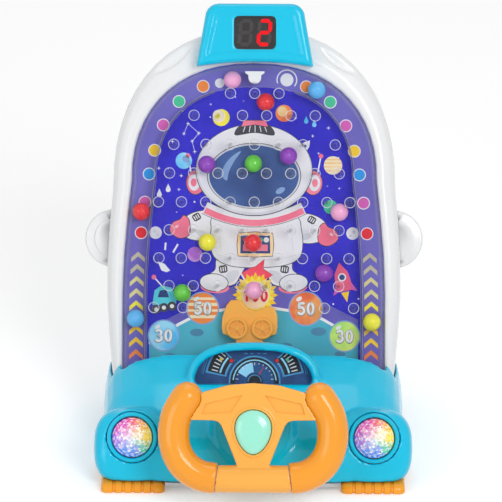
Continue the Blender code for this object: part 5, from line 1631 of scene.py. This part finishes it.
        art.disc(17.5 * MM, 203.4 * MM, 3.4 * MM, Inks.VISOR_LIGHT, 10, 0.55, 30)
        flag = [
            (-7.9, 148.1), (-2.5, 151.4), (1, 152.2), (7.0, 157.2), (6.1, 150.8),
            (12.5, 146.8), (8, 143.6), (3.4, 141.8), (-4.3, 141.4),
        ]
        art.outlined(in_mm(flag), Inks.FLAG, 6.4, 0.3 * MM)
        pole = [(-10.2 * MM, 150.4 * MM), (-4.6 * MM, 140.8 * MM)]
        art.band(pole, 1.0 * MM, Inks.WHITE, 7)

    @staticmethod
    def _badge(art: Drawing, x: float, v: float, size: float, turn: float) -> None:
        """Prints a small dark pocket with two white bars.

        Args:
            art: The drawing.
            x: Its middle across.
            v: Its middle up.
            size: Its width.
            turn: How far it is turned, in degrees.
        """
        corners = [
            (-0.5, -0.3), (-0.3, -0.45), (0.3, -0.45), (0.5, -0.3),
            (0.5, 0.3), (0.3, 0.45), (-0.3, 0.45), (-0.5, 0.3),
        ]
        art.polygon(placed(corners, x, v, size, turn), Inks.LINE, 5)
        for a in (-0.27, 0.0, 0.27):
            bar = placed([(a, -0.27), (a, 0.27)], x, v, size, turn)
            art.band(bar, 0.12 * size, Inks.WHITE, 5.6)

    @staticmethod
    def _rover(art: Drawing) -> None:
        """Prints a small six-cornered rover on the left edge of the ground."""
        body = [
            (-68, 126.5), (-66.5, 136), (-62, 139.5),
            (-55.5, 138), (-51.6, 131.5), (-52.2, 126.5),
        ]
        art.polygon(in_mm(body), Inks.CYAN, 4)
        window = [(-64.4, 131.5), (-63, 136), (-58.6, 136.6), (-56.8, 131.5)]
        art.polygon(in_mm(window), Inks.VISOR, 5)
        mast = [(-66.7 * MM, 144.7 * MM), (-60.5 * MM, 138 * MM)]
        art.band(mast, 0.9 * MM, Inks.WHITE, 4)
        art.disc(-67 * MM, 145 * MM, 1.6 * MM, Inks.ROSE, 5)
        for x, v in ((-65.4, 123.4), (-60.2, 124.6), (-54.8, 125.6)):
            art.disc(x * MM, v * MM, 3.1 * MM, Inks.LINE, 5)
            art.disc(x * MM, v * MM, 1.4 * MM, Inks.WHITE, 6)

    @staticmethod
    def _rocket(art: Drawing) -> None:
        """Prints two plain rockets: a small one by the helmet and a round one on the right."""
        flame = [(-2.2, -6.5), (0, -12), (2.2, -6.5)]
        wings = [(-6.6, -7.2), (-3.2, 0.5), (3.2, 0.5), (6.6, -7.2), (0, -4.4)]
        hull = [(-3.4, -6), (-4.3, -1), (-3.6, 4), (0, 9.6), (3.6, 4), (4.3, -1), (3.4, -6)]
        for x, v, size, turn, body, fins in (
            (33.5, 232.5, 0.62, -38, Inks.WHITE, Inks.RED),
            (59.5, 143.5, 1.25, 12, Inks.PINK, Inks.MAGENTA),
        ):
            art.polygon(in_mm(placed(flame, x, v, size, turn)), Inks.AMBER, 3)
            art.polygon(in_mm(placed(wings, x, v, size, turn)), fins, 4)
            art.polygon(in_mm(placed(hull, x, v, size, turn)), body, 5)
            middle = in_mm(placed([(0, 1.6)], x, v, size, turn))[0]
            art.disc(*middle, size * 2.2 * MM, Inks.WHITE, 6)
            art.disc(*middle, size * 1.5 * MM, Inks.VISOR, 7)

    def _bubbles(self, art: Drawing) -> None:
        """Prints the five scoring bubbles with their numbers."""
        rim, white = Inks.VISOR_LIGHT, Inks.WHITE
        for x, v, radius, ink, stripe, number in (
            (-34.2, 124.3, 10.3, Inks.ORANGE, Inks.CREAM, "50"),
            (35.0, 124.3, 10.9, Inks.FIRE, None, "50"),
            (-60.3, 105.9, 9.8, Inks.SKY, None, "30"),
            (61.0, 105.9, 9.8, Inks.LIME, None, "30"),
        ):
            art.disc(x * MM, v * MM, (radius + 0.9) * MM, rim, 5)
            if stripe:
                self._striped(art, x * MM, v * MM, radius * MM, ink, stripe, 6)
            else:
                art.disc(x * MM, v * MM, radius * MM, ink, 6)
            glint = ((x - 0.42 * radius) * MM, (v + 0.6 * radius) * MM)
            art.disc(*glint, 0.2 * radius * MM, white, 8, 0.6, 35)
            height = 9.0 * MM
            art.digits(number, x * MM, v * MM - 0.2 * MM, height, Inks.GREY, 8, 0.27)
            art.digits(number, x * MM, v * MM, height, white, 9, 0.19)
        x, v = 1.0 * MM, 133.3 * MM
        for reach, dip, turn, ink, layer in (
            (15.4, 11.2, 0.0, Inks.AMBER, 8),
            (13.6, 9.6, 11.0, Inks.YELLOW, 9),
        ):
            art.polygon(star_points(x, v, reach * MM, dip * MM, 16, turn), ink, layer)
        art.disc(x, v, 9.4 * MM, Inks.CREAM, 10)
        art.digits("100", x, v - 0.4 * MM, 8.4 * MM, Inks.WHITE, 11, 0.3)
        art.digits("100", x, v - 0.4 * MM, 8.4 * MM, Inks.RED, 12, 0.2)


# ---------------------------------------------------------------- clear cover


@dataclass(frozen=True)
class PegSizes:
    """Sizes of a clear peg: a stem and a ring-shaped head under the cover."""

    stem: float = 1.2 * MM
    head: float = 3.75 * MM
    rim: float = 0.5 * MM
    steps: int = 28
    pitch: float = 16.2 * MM

    def profile(self) -> list[Point]:
        """Returns radius and height, from the tip by the board to the cover."""
        top = COVER_INNER_W + 0.3 * MM
        inner = self.head - self.rim
        return [
            (0.05 * MM, 0.7 * MM),
            (self.stem - 0.05 * MM, 0.75 * MM),
            (self.stem, 1.2 * MM),
            (self.stem, 11.2 * MM),
            (self.head - 0.25 * MM, 11.2 * MM),
            (self.head, 12.0 * MM),
            (self.head, top),
            (self.head - 0.12 * MM, top),
            (inner, top - 1.1 * MM),
            (0.05 * MM, top - 1.15 * MM),
        ]


class ClearCover(Assembly):
    """The clear domed cover with its pegs and lane rails."""

    peg_rows = (
        (268.2, (0, 1)),
        (253.3, (0.5, 1.5, 2.5)),
        (233.9, (0, 1, 2, 3.33)),
        (214.7, (0.5, 1.5, 2.5, 3.5)),
        (195.4, (0, 1, 2, 3, 3.95)),
        (176.7, (0.5, 1.5, 2.5, 3.5)),
        (157.9, (0, 1, 2, 3, 3.92)),
        (139.4, (0.5, 1.5, 2.5, 3.5)),
        (124.8, (2.92, 4.12)),
    )
    # inset of the outline and height of the surface, from the middle of the front to the foot
    edge = ((9.0, 14.75), (4.6, 14.7), (2.2, 14.2), (0.7, 12.7), (0.05, 10.0), (0.05, 0.4))
    mouth = 24 * MM

    def build(self) -> None:
        """Builds the skin, the pegs and the rails."""
        self._skin()
        self._pegs()
        self._rails()

    def _skin(self) -> None:
        """Builds the cover's thin skin from its outline, drawn inwards over the rounded edge."""
        rings = []
        for inset, height in reversed(self.edge):
            outline = COVER_ARCH.outline(inset * MM, UNIT_FOOT + 0.4 * MM, 48, 20)
            rings.append([Vector((x, v, height * MM)) for x, v in outline])
        skin = drawn_through(rings, "clear_dome")
        apply_modifier(skin, "SOLIDIFY", thickness=1.6 * MM, offset=-1.0)
        smooth(finish_place(skin, self.board.matrix()), 40)
        skin.data.materials.append(Finish.COVER.made())
        self.stand_in(skin, "machine", "clear_plastic", ["clear_cover"])

    def _pegs(self) -> None:
        """Turns one peg, copies it to every place and joins the copies."""
        sizes = PegSizes()
        first = turned(sizes.profile(), sizes.steps, "peg")
        pegs = []
        for v, steps in self.peg_rows:
            for step in steps:
                for side in (-1, 1) if step else (1,):
                    deselect_all()
                    first.select_set(True)
                    bpy.context.view_layer.objects.active = first
                    bpy.ops.object.duplicate()
                    place = Matrix.Translation((side * step * sizes.pitch, v * MM, 0))
                    pegs.append(finish_place(bpy.context.active_object, place))
        bpy.data.objects.remove(first, do_unlink=True)
        joined = smooth(finish_place(join_pieces(pegs, "peg_field"), self.board.matrix()), 40)
        joined.data.materials.append(Finish.PEG.made())
        self.stand_in(joined, "machine", "clear_plastic")

    def _rails(self) -> None:
        """Builds the two rails between the lanes and the field, and the arch over the mouth."""
        line = COVER_ARCH.outline(LANE_INSET + RAIL_WIDTH / 2, 88 * MM, 60, 24)
        right = [point for point in line if point[0] > self.mouth]
        rails = Drawing("lane_rails", 12.3 * MM)
        for side in (1, -1):
            rails.band([(side * x, v) for x, v in right], RAIL_WIDTH, Finish.PEG, 1)
        over = [point for point in line if abs(point[0]) <= self.mouth + 2 * MM]
        rails.step = 0.3 * MM
        rails.band(over, 0.5 * MM, Finish.PEG, 1)
        piece = rails.lay(self.board.matrix(w=0.4 * MM))
        self.stand_in(soften_edges(piece, 0.35 * MM), "machine", "clear_plastic")


# ---------------------------------------------------------------- score display


@dataclass(frozen=True)
class DigitSizes:
    """Sizes of the two red digits."""

    height: float = 18.2 * MM
    width: float = 9.7 * MM
    bar: float = 2.5 * MM
    offset: float = 6.3 * MM
    slant: float = 0.07


class ScoreBox(Assembly):
    """The blue display box with its smoked window and seven-bar digits."""

    window_v = 308.5 * MM
    face_w = 18.6 * MM

    def build(self) -> None:
        """Builds the box, the window and the digits."""
        self.refined(
            "score_housing",
            "display_box",
            "machine",
            "cyan_plastic",
            Finish.CYAN,
            lambda piece: fused(piece, 0.6 * MM, 22),
        )
        self.refined("score_window", "display_window", "machine", "smoked_plastic", Finish.SMOKED)
        self.dress("score_display", Finish.BLACK)
        self._digits()

    def _digits(self) -> None:
        """Prints an unlit eight on the left, and a lit two over an unlit eight on the right."""
        sizes = DigitSizes()
        face = Drawing("display_digits", 0.05 * MM)
        for x, lit in ((-sizes.offset, ""), (sizes.offset, SEGMENTS["2"])):
            for bar in SEGMENTS["8"]:
                outline = segment_outline(bar, sizes.height, sizes.width, sizes.bar)
                slanted = [(x + a + sizes.slant * b, b) for a, b in outline]
                ink = Inks.LIT if bar in lit else Inks.UNLIT
                face.polygon(slanted, ink, 2 if bar in lit else 1)
        piece = face.lay(self.board.matrix(v=self.window_v, w=self.face_w + 0.02 * MM))
        self.stand_in(piece, "machine", "black_plastic")


# ---------------------------------------------------------------- base


@dataclass(frozen=True)
class FootSizes:
    """Sizes of a tyre-shaped foot and of the grooves in its tread."""

    middle: float = 79 * MM
    half: float = 20.9 * MM
    front: float = -91.7 * MM
    back: float = -48.2 * MM
    top: float = 6.15 * MM
    rounding: float = 3.0 * MM
    curve: float = 5.4 * MM
    grooves: tuple[float, ...] = (-0.6, -0.3, 0.0, 0.3, 0.6)

    def section(self, pinch: float) -> list[Point]:
        """Returns y and z round the foot's side outline, drawn in by a pinch."""
        front, top = self.front + pinch, self.top - 0.6 * pinch
        low = 0.02 * MM + 0.15 * pinch
        rise = top - low - 0.9 * MM
        points = [(self.back - 0.3 * pinch, low), (self.back - 0.3 * pinch, top)]
        for k in range(9):
            angle = math.radians(90 + 11.25 * k)
            y = front + self.curve * (1 + math.cos(angle))
            points.append((y, top - rise * (1 - math.sin(angle))))
        points.append((front + 0.9 * MM, low))
        return points


class BaseHood(Assembly):
    """The blue car-shaped hood, its tray, its feet and what they close in."""

    def build(self) -> None:
        """Builds and dresses the base."""
        self.refined(
            "hood_shell",
            "hood",
            "machine",
            "cyan_plastic",
            Finish.CYAN,
            lambda piece: fused(piece, 1.25 * MM, 9),
        )
        for side, name in ((-1, "left"), (1, "right")):
            foot = self._foot(side, f"{name}_tyre_foot")
            foot.data.materials.append(Finish.TYRE.made())
            self.stand_in(smooth(foot, 35), "machine", "orange_plastic", [f"tyre_foot_{name}"])
        self.refined("base_tray", "floor_tray", "machine", "grey_plastic", Finish.GREY)
        self.refined("battery_door", "battery_hatch", "door", "grey_plastic", Finish.GREY)
        for k in (1, 2, 3):
            self.dress(f"battery_{k}", Finish.WRAP)
        self.dress("speaker", Finish.BLACK)
        self.dress("launch_motor", Finish.STEEL)

    @staticmethod
    def _foot(side: int, name: str) -> bpy.types.Object:
        """Draws a foot across from end to end, waisted at each groove of its tread.

        Args:
            side: -1 for the left foot and 1 for the right one.
            name: The foot's name.

        Returns:
            The foot, in place.
        """
        sizes = FootSizes()
        stops = [(-1.0, 1.0), (-0.985, 0.62), (-0.95, 0.34), (-0.9, 0.14), (-0.84, 0.0)]
        for groove in sizes.grooves:
            waist = ((-0.055, 0.0), (-0.035, 0.4), (0.035, 0.4), (0.055, 0.0))
            stops += [(groove + step, pinch) for step, pinch in waist]
        stops += [(-share, pinch) for share, pinch in reversed(stops[:5])]
        rings = []
        for share, pinch in stops:
            x = (side * sizes.middle) + share * sizes.half
            rings.append([Vector((x, y, z)) for y, z in sizes.section(pinch * sizes.rounding)])
        return drawn_through(rings, name, back=True)


@dataclass(frozen=True)
class LensTint:
    """The tint of a stretch of the lens, by its direction in degrees from the right."""

    start: float
    end: float
    colour: Colour


class Headlights(Assembly):
    """The round headlights: a rim and a faceted lens of many colours."""

    radius = 13.1 * MM
    dome = 4.6 * MM
    seat_w = 76.7 * MM
    x = 79.6 * MM
    v = 40 * MM
    white_core = 0.9
    tints = (
        LensTint(-20, 35, (0.98, 0.72, 0.02)),
        LensTint(35, 65, (0.95, 0.4, 0.03)),
        LensTint(65, 100, (0.85, 0.06, 0.1)),
        LensTint(100, 165, (0.68, 0.02, 0.45)),
        LensTint(165, 215, (0.3, 0.1, 0.7)),
        LensTint(215, 300, (0.02, 0.2, 0.8)),
        LensTint(300, 340, (0.08, 0.58, 0.4)),
    )

    def build(self) -> None:
        """Builds both headlights."""
        for side, name in ((-1, "left"), (1, "right")):
            self.refined(
                f"headlight_ring_{name}", f"{name}_lamp_rim", "machine", "cyan_plastic", Finish.CYAN
            )
            lens = self._lens(f"{name}_lamp_lens")
            finish_place(lens, self.board.matrix(side * self.x, self.v, self.seat_w))
            lens.data.materials.append(Finish.LENS.made())
            self.stand_in(lens, "machine", "headlight_lens", [f"headlight_lens_{name}"])

    def _lens(self, name: str) -> bpy.types.Object:
        """Builds one lens from the top of a faceted ball, and tints its facets.

        Args:
            name: The lens's name.

        Returns:
            The lens, round the origin.
        """
        deselect_all()
        bpy.ops.mesh.primitive_ico_sphere_add(subdivisions=4, radius=self.radius)
        lens = bpy.context.active_object
        lens.name = name
        lens.scale = (1, 1, self.dome / self.radius)
        bpy.ops.object.transform_apply(location=True, rotation=True, scale=True)
        bpy.ops.object.mode_set(mode="EDIT")
        bpy.ops.mesh.select_all(action="SELECT")
        bpy.ops.mesh.bisect(
            plane_co=(0, 0, 0), plane_no=(0, 0, 1), use_fill=True, clear_inner=True
        )
        bpy.ops.object.mode_set(mode="OBJECT")
        tint = lens.data.color_attributes.new("facet_tint", "FLOAT_COLOR", "CORNER")
        for i, face in enumerate(lens.data.polygons):
            colour = self._tint(face.center, i)
            for corner in face.loop_indices:
                tint.data[corner].color = (*colour, 1)
        return lens

    def _tint(self, centre: Vector, index: int) -> Colour:
        """Finds a facet's colour from where it is on the lens.

        Args:
            centre: The facet's middle.
            index: The facet's number, which makes neighbours differ a little and picks the facets
                that are paled as painted glints.

        Returns:
            The colour.
        """
        direction = math.degrees(math.atan2(centre.y, centre.x))
        wobble = 13 * math.sin(index * 2.4)
        turn = (direction + wobble + 20) % 360 - 20
        reach = math.hypot(centre.x, centre.y) / self.radius
        colour = (1.0, 0.95, 0.9)
        for tint in self.tints:
            if tint.start <= turn < tint.end:
                colour = tint.colour
        # some facets are paled towards white at random: painted glints
        painted_glint = 0.5 + 0.5 * math.sin(index * 5.1)
        core = max(0.0, 1 - reach / self.white_core)
        pale = min(0.9, 0.02 + 0.6 * painted_glint**3 + 0.8 * core**1.5)
        light = 0.85 + 0.15 * math.sin(index * 3.7)
        return tuple(light * (c + (1 - c) * pale) for c in colour)


class DashPanel(Assembly):
    """The printed dashboard under its clear lens."""

    face_w = 31.5 * MM
    centre = (0.8 * MM, 76.0 * MM)

    def build(self) -> None:
        """Dresses the panel, prints its gauges and makes its lens."""
        self.dress("dash_panel", Inks.DASH)
        art = Drawing("dash_gauges")
        self._side_gauges(art)
        self._speedometer(art)
        piece = art.lay(self.board.matrix(w=self.face_w + PRINT_LIFT))
        self.stand_in(piece, "machine", "dash_print")
        self.refined("dash_lens", "dash_window", "machine", "clear_plastic", Finish.COVER)

    def _half_disc(self, art: Drawing, radius: float, ink: Inks, layer: float) -> None:
        """Prints the upper half of a disc round the dial's middle, down to the panel's foot."""
        x, v = self.centre
        foot = v - 1.4 * MM
        over = arc_points(x, v, radius, radius, 0, 180, 32)
        art.polygon([(x + radius, foot), *over, (x - radius, foot)], ink, layer)

    def _sector(
        self,
        art: Drawing,
        near: float,
        far: float,
        start: float,
        end: float,
        ink: Inks,
        layer: float,
    ) -> None:
        """Prints a stretch of a ring round the dial's middle.

        Args:
            art: The drawing.
            near: Inner radius.
            far: Outer radius.
            start: Where it starts, in degrees from the right.
            end: Where it ends.
            ink: Its ink.
            layer: Its layer.
        """
        art.arc(*self.centre, (near + far) / 2, far - near, ink, layer, start, end, 14)

    def _speedometer(self, art: Drawing) -> None:
        """Prints the middle dial."""
        self._half_disc(art, 17.2 * MM, Inks.DASH_PALE, 3)
        self._half_disc(art, 16.2 * MM, Inks.DIAL, 4)
        self._sector(art, 13.9 * MM, 14.7 * MM, 4, 176, Inks.DIAL_LIGHT, 5)
        self._half_disc(art, 12.9 * MM, Inks.DASH, 5)
        self._sector(art, 6.2 * MM, 12.6 * MM, 96, 152, Inks.DIAL_LIGHT, 6)
        x, v = self.centre
        for k in range(13):
            angle = math.radians(8 + 164 * k / 12)
            near, far = (10.9 if k % 3 == 0 else 11.7) * MM, 12.7 * MM
            line = [(x + r * math.cos(angle), v + r * math.sin(angle)) for r in (near, far)]
            art.band(line, 0.42 * MM, Inks.WHITE, 7)
        angle, reach = math.radians(58), 11.4 * MM
        tip = (x + reach * math.cos(angle), v + reach * math.sin(angle))
        art.band([(x, v), tip], 0.9 * MM, Inks.RED, 8, 0.3)
        self._half_disc(art, 5.4 * MM, Inks.DIAL, 9)
        self._sector(art, 4.1 * MM, 4.7 * MM, 0, 180, Inks.DASH_PALE, 10)

    def _side_gauges(self, art: Drawing) -> None:
        """Prints the curved gauges on both sides, and the warning lamps."""
        for low, high in ((10, 46), (134, 170)):
            self._sector(art, 19.2 * MM, 33.2 * MM, low, high, Inks.DASH_PALE, 1)
            self._sector(art, 20.4 * MM, 32.0 * MM, low + 2.2, high - 2.2, Inks.DIAL, 2)
            self._sector(art, 23.0 * MM, 24.2 * MM, low + 4, high - 4, Inks.DIAL_LIGHT, 3)
            for k in range(6):
                angle = low + 5.5 + (high - low - 11) * k / 5
                self._sector(art, 25.4 * MM, 29.6 * MM, angle - 0.7, angle + 0.7, Inks.WHITE, 3)
        for x, v in ((-14.6, 89.8), (15.6, 90.0)):
            art.disc(x * MM, v * MM, 1.7 * MM, Inks.DIAL, 4)
            art.disc(x * MM, v * MM, 1.2 * MM, Inks.RED, 5)
        for x, ink in ((-21.5, Inks.AMBER), (22.6, Inks.GREEN)):
            art.disc(x * MM, 90.6 * MM, 1.0 * MM, ink, 4)
        for x in (-6.0, -2.0, 2.6, 6.6):
            art.band(in_mm([(x, 94.6), (x + 2.0, 94.6)]), 0.5 * MM, Inks.DASH_PALE, 3)
        for side in (-1, 1):
            for near, width in ((34.4, 0.35), (35.6, 0.25)):
                low, high = (8, 40) if side > 0 else (140, 172)
                self._sector(art, near * MM, (near + width) * MM, low, high, Inks.DASH_PALE, 2)


# ---------------------------------------------------------------- steering wheel


class SteeringWheel(Assembly):
    """The orange wheel with its recessed panels, thick grips and mint horn button."""

    recess = 1.3 * MM
    plate_w = 118 * MM
    horn_room = 0.12 * MM
    horn_travel = 2.0 * MM
    # right-hand recess, from the wheel's axis
    panel = (
        (31.5 * MM, 18.4 * MM),
        (7.4 * MM, 24.0 * MM),
        (14.6 * MM, 12.6 * MM),
        (33.6 * MM, 11.6 * MM),
    )

    def build(self) -> None:
        """Builds the wheel, its grips, its button and its shaft."""
        frame = fused(copy_node(self.nodes, "steering_frame", "wheel_plate"), 0.6 * MM, 3)
        for side in (-1, 1):
            points = [(side * x, v) for x, v in self.panel]
            tool = Drawing("panel_tool", 4 * MM)
            tool.polygon(points, Finish.ORANGE, 1)
            cut_away(frame, tool.lay(self.board.matrix(0, STEERING_V, self.plate_w - self.recess)))
        room = copy_node(self.nodes, "horn_button", "button_room")
        apply_modifier(room, "DISPLACE", strength=self.horn_room, mid_level=0.0)
        finish_place(room, Matrix.Translation(-self.horn_travel * self.board.out))
        cut_away(frame, room)
        frame.data.materials.clear()
        frame.data.materials.append(Finish.ORANGE.made())
        self.stand_in(smooth(frame, 25), "steering", "orange_plastic", ["steering_frame"])
        for side in ("left", "right"):
            self.refined(
                f"grip_{side}",
                f"{side}_grip",
                "steering",
                "orange_rubber",
                Finish.GRIP,
                lambda piece: fused(piece, 0.8 * MM, 8),
            )
        self.refined(
            "horn_button",
            "horn_cap",
            "horn",
            "mint_plastic",
            Finish.MINT,
            lambda piece: fused(piece, 0.4 * MM, 8),
        )
        self.dress("steering_shaft", Finish.STEEL)
        self.dress("sector_gear", Finish.NYLON)


# ---------------------------------------------------------------- moving works


class CatcherCar(Assembly):
    """The little orange car that catches the balls."""

    spokes = 5
    wheels = ((-11.2 * MM, 111 * MM), (5.8 * MM, 111 * MM))

    def build(self) -> None:
        """Builds the car's body and wheels, and dresses its rack."""
        self.refined(
            "car_body",
            "catcher_body",
            "car",
            "orange_plastic",
            Finish.CAR,
            lambda piece: fused(piece, 0.45 * MM, 4),
        )
        for (x, v), side in zip(self.wheels, ("left", "right")):
            wheel = self._wheel(f"{side}_car_wheel")
            finish_place(wheel, self.board.matrix(x, v, 9.5 * MM))
            wheel.data.materials.append(Finish.CAR.made())
            self.stand_in(smooth(wheel, 30), "car", "orange_plastic", [f"car_wheel_{side}"])
        self.dress("catcher_rack", Finish.NYLON)

    def _wheel(self, name: str) -> bpy.types.Object:
        """Turns a wheel with a dished middle, and lays spokes and a hub in the dish.

        Args:
            name: The wheel's name.

        Returns:
            The wheel, round the origin, its face towards +Z.
        """
        rim = [
            (0.05 * MM, 0), (6.9 * MM, 0), (7.35 * MM, 0.5 * MM), (7.35 * MM, 1.7 * MM),
            (6.8 * MM, 2.3 * MM), (5.7 * MM, 2.3 * MM), (5.2 * MM, 1.9 * MM),
            (4.9 * MM, 0.3 * MM), (0.05 * MM, 0.3 * MM),
        ]
        hub = [
            (0.05 * MM, 0.2 * MM), (1.7 * MM, 0.2 * MM), (1.7 * MM, 2.0 * MM),
            (1.2 * MM, 2.3 * MM), (0.05 * MM, 2.3 * MM),
        ]
        pieces = [turned(rim, 40, "rim"), turned(hub, 24, "hub")]
        for k in range(self.spokes):
            angle = math.tau * (k + 0.25) / self.spokes
            spoke = Drawing("spoke", 2.1 * MM)
            spoke.band(
                [(r * math.cos(angle), r * math.sin(angle)) for r in (1.2 * MM, 5.5 * MM)],
                1.2 * MM, Finish.CAR, 1, 0.8,
            )
            pieces.append(spoke.parts[0])
        for piece in pieces:
            piece.data.materials.clear()
        return join_pieces(pieces, name)


class Works(Assembly):
    """The launcher under the board."""

    def build(self) -> None:
        """Dresses the launcher's pieces."""
        self.dress("launch_shaft", Finish.STEEL)
        self.dress("motor_pinion", Finish.STEEL)
        self.dress("launch_gear", Finish.NYLON)
        for side in ("left", "right"):
            self.dress(f"launch_wheel_{side}", Finish.RUBBER)


class BallColour(Enum):
    """The glossy colours of the balls, by the word in their nodes' names."""

    pink = Moulded("pink_ball_plastic", (0.93, 0.42, 0.68), 0.06, 0.01, 0.03, 0.45, 0.25)
    red = Moulded("red_ball_plastic", (0.85, 0.015, 0.025), 0.06, 0.01, 0.03, 0.45, 0.25)
    purple = Moulded("purple_ball_plastic", (0.28, 0.04, 0.5), 0.06, 0.01, 0.03, 0.45, 0.25)
    green = Moulded("green_ball_plastic", (0.12, 0.62, 0.04), 0.06, 0.01, 0.03, 0.45, 0.25)
    yellow = Moulded("yellow_ball_plastic", (0.9, 0.85, 0.03), 0.06, 0.01, 0.03, 0.45, 0.25)
    blue = Moulded("blue_ball_plastic", (0.1, 0.48, 0.9), 0.06, 0.01, 0.03, 0.45, 0.25)


class Balls(Assembly):
    """The balls in play, each on its own body."""

    radius = 5.97 * MM
    seam = 0.05 * MM
    steps = 40
    levels = 22

    def build(self) -> None:
        """Builds a ball with a faint moulding seam in place of each CAD ball."""
        for node in sorted(name for name in self.nodes if name.startswith("ball_")):
            low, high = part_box(node)
            middle = (Vector(low) + Vector(high)) / 2
            ball = turned(self._profile(), self.steps, f"play_{node}")
            turn = Matrix.Rotation(middle.x * 40, 4, "X") @ Matrix.Rotation(middle.z * 30, 4, "Y")
            finish_place(ball, Matrix.Translation(middle) @ turn)
            colour = node.split("_")[1]
            ball.data.materials.append(BallColour[colour].value.make())
            self.stand_in(smooth(ball, 60), node, f"ball_{colour}", [node])

    def _profile(self) -> list[Point]:
        """Returns radius and height round a ball, with a small ridge at its middle."""
        profile = []
        for k in range(self.levels + 1):
            angle = math.pi * (k / self.levels - 0.5)
            radius = max(self.radius * math.cos(angle), 0.02 * MM)
            if k == self.levels // 2:
                radius += self.seam
            profile.append((radius, self.radius * math.sin(angle)))
        return profile


# ---------------------------------------------------------------- studio


@dataclass(frozen=True)
class Lamp:
    """An area lamp that points at the machine."""

    name: str
    place: tuple[float, float, float]
    size: float
    watts: float


def seen_plainly(tree: bpy.types.NodeTree) -> bpy.types.NodeSocket:
    """Returns a socket that is 1 for the camera, in reflections and through clear pieces."""
    path = tree.nodes.new("ShaderNodeLightPath")
    seen = path.outputs["Is Camera Ray"]
    for ray in ("Is Glossy Ray", "Is Transmission Ray"):
        wider = tree.nodes.new("ShaderNodeMath")
        wider.operation = "MAXIMUM"
        tree.links.new(seen, wider.inputs[0])
        tree.links.new(path.outputs[ray], wider.inputs[1])
        seen = wider.outputs[0]
    return seen


class Studio:
    """Floor, lamps, backdrop colour and camera."""

    lamps = (
        Lamp("key_lamp", (0.75, -1.7, 1.35), 0.8, 17.0),
        Lamp("fill_lamp", (-1.3, -1.6, 0.8), 1.0, 7.0),
        Lamp("top_lamp", (0.1, 0.6, 1.9), 1.0, 4.5),
    )
    aim = (0.0, 0.02, 0.14)
    ambient = 0.5
    floor_lift = 0.27
    lens_mm = 428
    sensor_mm = 36
    camera_place = (-0.002, 0.1628, 4.0)
    camera_roll = 0.27

    def __init__(self, board: BoardFrame) -> None:
        """Keeps the board frame."""
        self.board = board

    def build(self) -> None:
        """Sets up the whole studio."""
        self._floor()
        self._lamps()
        self._world()
        self._camera()
        bpy.context.scene.view_settings.view_transform = "Standard"

    def _floor(self) -> None:
        """Lays a pale floor that looks white where nothing shades it."""
        deselect_all()
        bpy.ops.mesh.primitive_plane_add(size=8, location=(0, 0, 0))
        floor = bpy.context.active_object
        floor.name = "studio_floor"
        made, shader, place = start_material("pale_floor")
        tree = made.node_tree
        rough = ranged(tree, noise(tree, place, 2), 0.75, 0.8)
        tree.links.new(rough, shader.inputs["Roughness"])
        lift = ranged(tree, seen_plainly(tree), 0.0, self.floor_lift)
        tree.links.new(lift, shader.inputs["Emission Strength"])
        colours = {"Base Color": (0.95, 0.95, 0.955, 1), "Emission Color": (1, 1, 1, 1)}
        set_inputs(shader, colours)
        floor.data.materials.append(made)

    def _lamps(self) -> None:
        """Hangs the area lamps and points them at the machine."""
        for lamp in self.lamps:
            data = bpy.data.lights.new(lamp.name, "AREA")
            data.energy = lamp.watts
            data.size = lamp.size
            obj = bpy.data.objects.new(lamp.name, data)
            obj.location = lamp.place
            towards = Vector(self.aim) - Vector(lamp.place)
            obj.rotation_euler = towards.to_track_quat("-Z", "Y").to_euler()
            bpy.context.scene.collection.objects.link(obj)

    def _world(self) -> None:
        """Lights the scene evenly, and shows white to the camera and in reflections."""
        world = bpy.data.worlds.new("plain_white")
        bpy.context.scene.world = world
        world.use_nodes = True
        tree = world.node_tree
        back = tree.nodes["Background"]
        back.inputs["Color"].default_value = (1, 1, 1, 1)
        strength = ranged(tree, seen_plainly(tree), self.ambient, 1.0)
        tree.links.new(strength, back.inputs["Strength"])

    def _camera(self) -> None:
        """Places the camera square on to the board, far away through a long lens."""
        data = bpy.data.cameras.new("camera")
        data.lens = self.lens_mm
        data.sensor_width = self.sensor_mm
        data.clip_end = 20
        camera = bpy.data.objects.new("camera", data)
        roll = Matrix.Rotation(math.radians(self.camera_roll), 4, "Z")
        camera.matrix_world = self.board.matrix(*self.camera_place) @ roll
        bpy.context.scene.collection.objects.link(camera)
        bpy.context.scene.camera = camera


def main() -> None:
    """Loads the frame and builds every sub-assembly round it."""
    logging.basicConfig(level=logging.INFO, format="%(name)s: %(message)s")
    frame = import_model()
    moulded_skin()
    printed_ink()
    joints = {joint["name"]: joint for joint in frame["record"]["behaviour"]["joints"]}
    board = BoardFrame.from_joint(joints["steering_turn"], STEERING_V)
    Studio(board).build()
    assemblies = (
        UpperShell, PlayBoard, ClearCover, ScoreBox, BaseHood, Headlights, DashPanel,
        SteeringWheel, CatcherCar, Works, Balls,
    )
    for assembly in assemblies:
        LOG.info("building %s", assembly.__name__)
        assembly(frame, board).build()


if __name__ == "__main__":
    main()
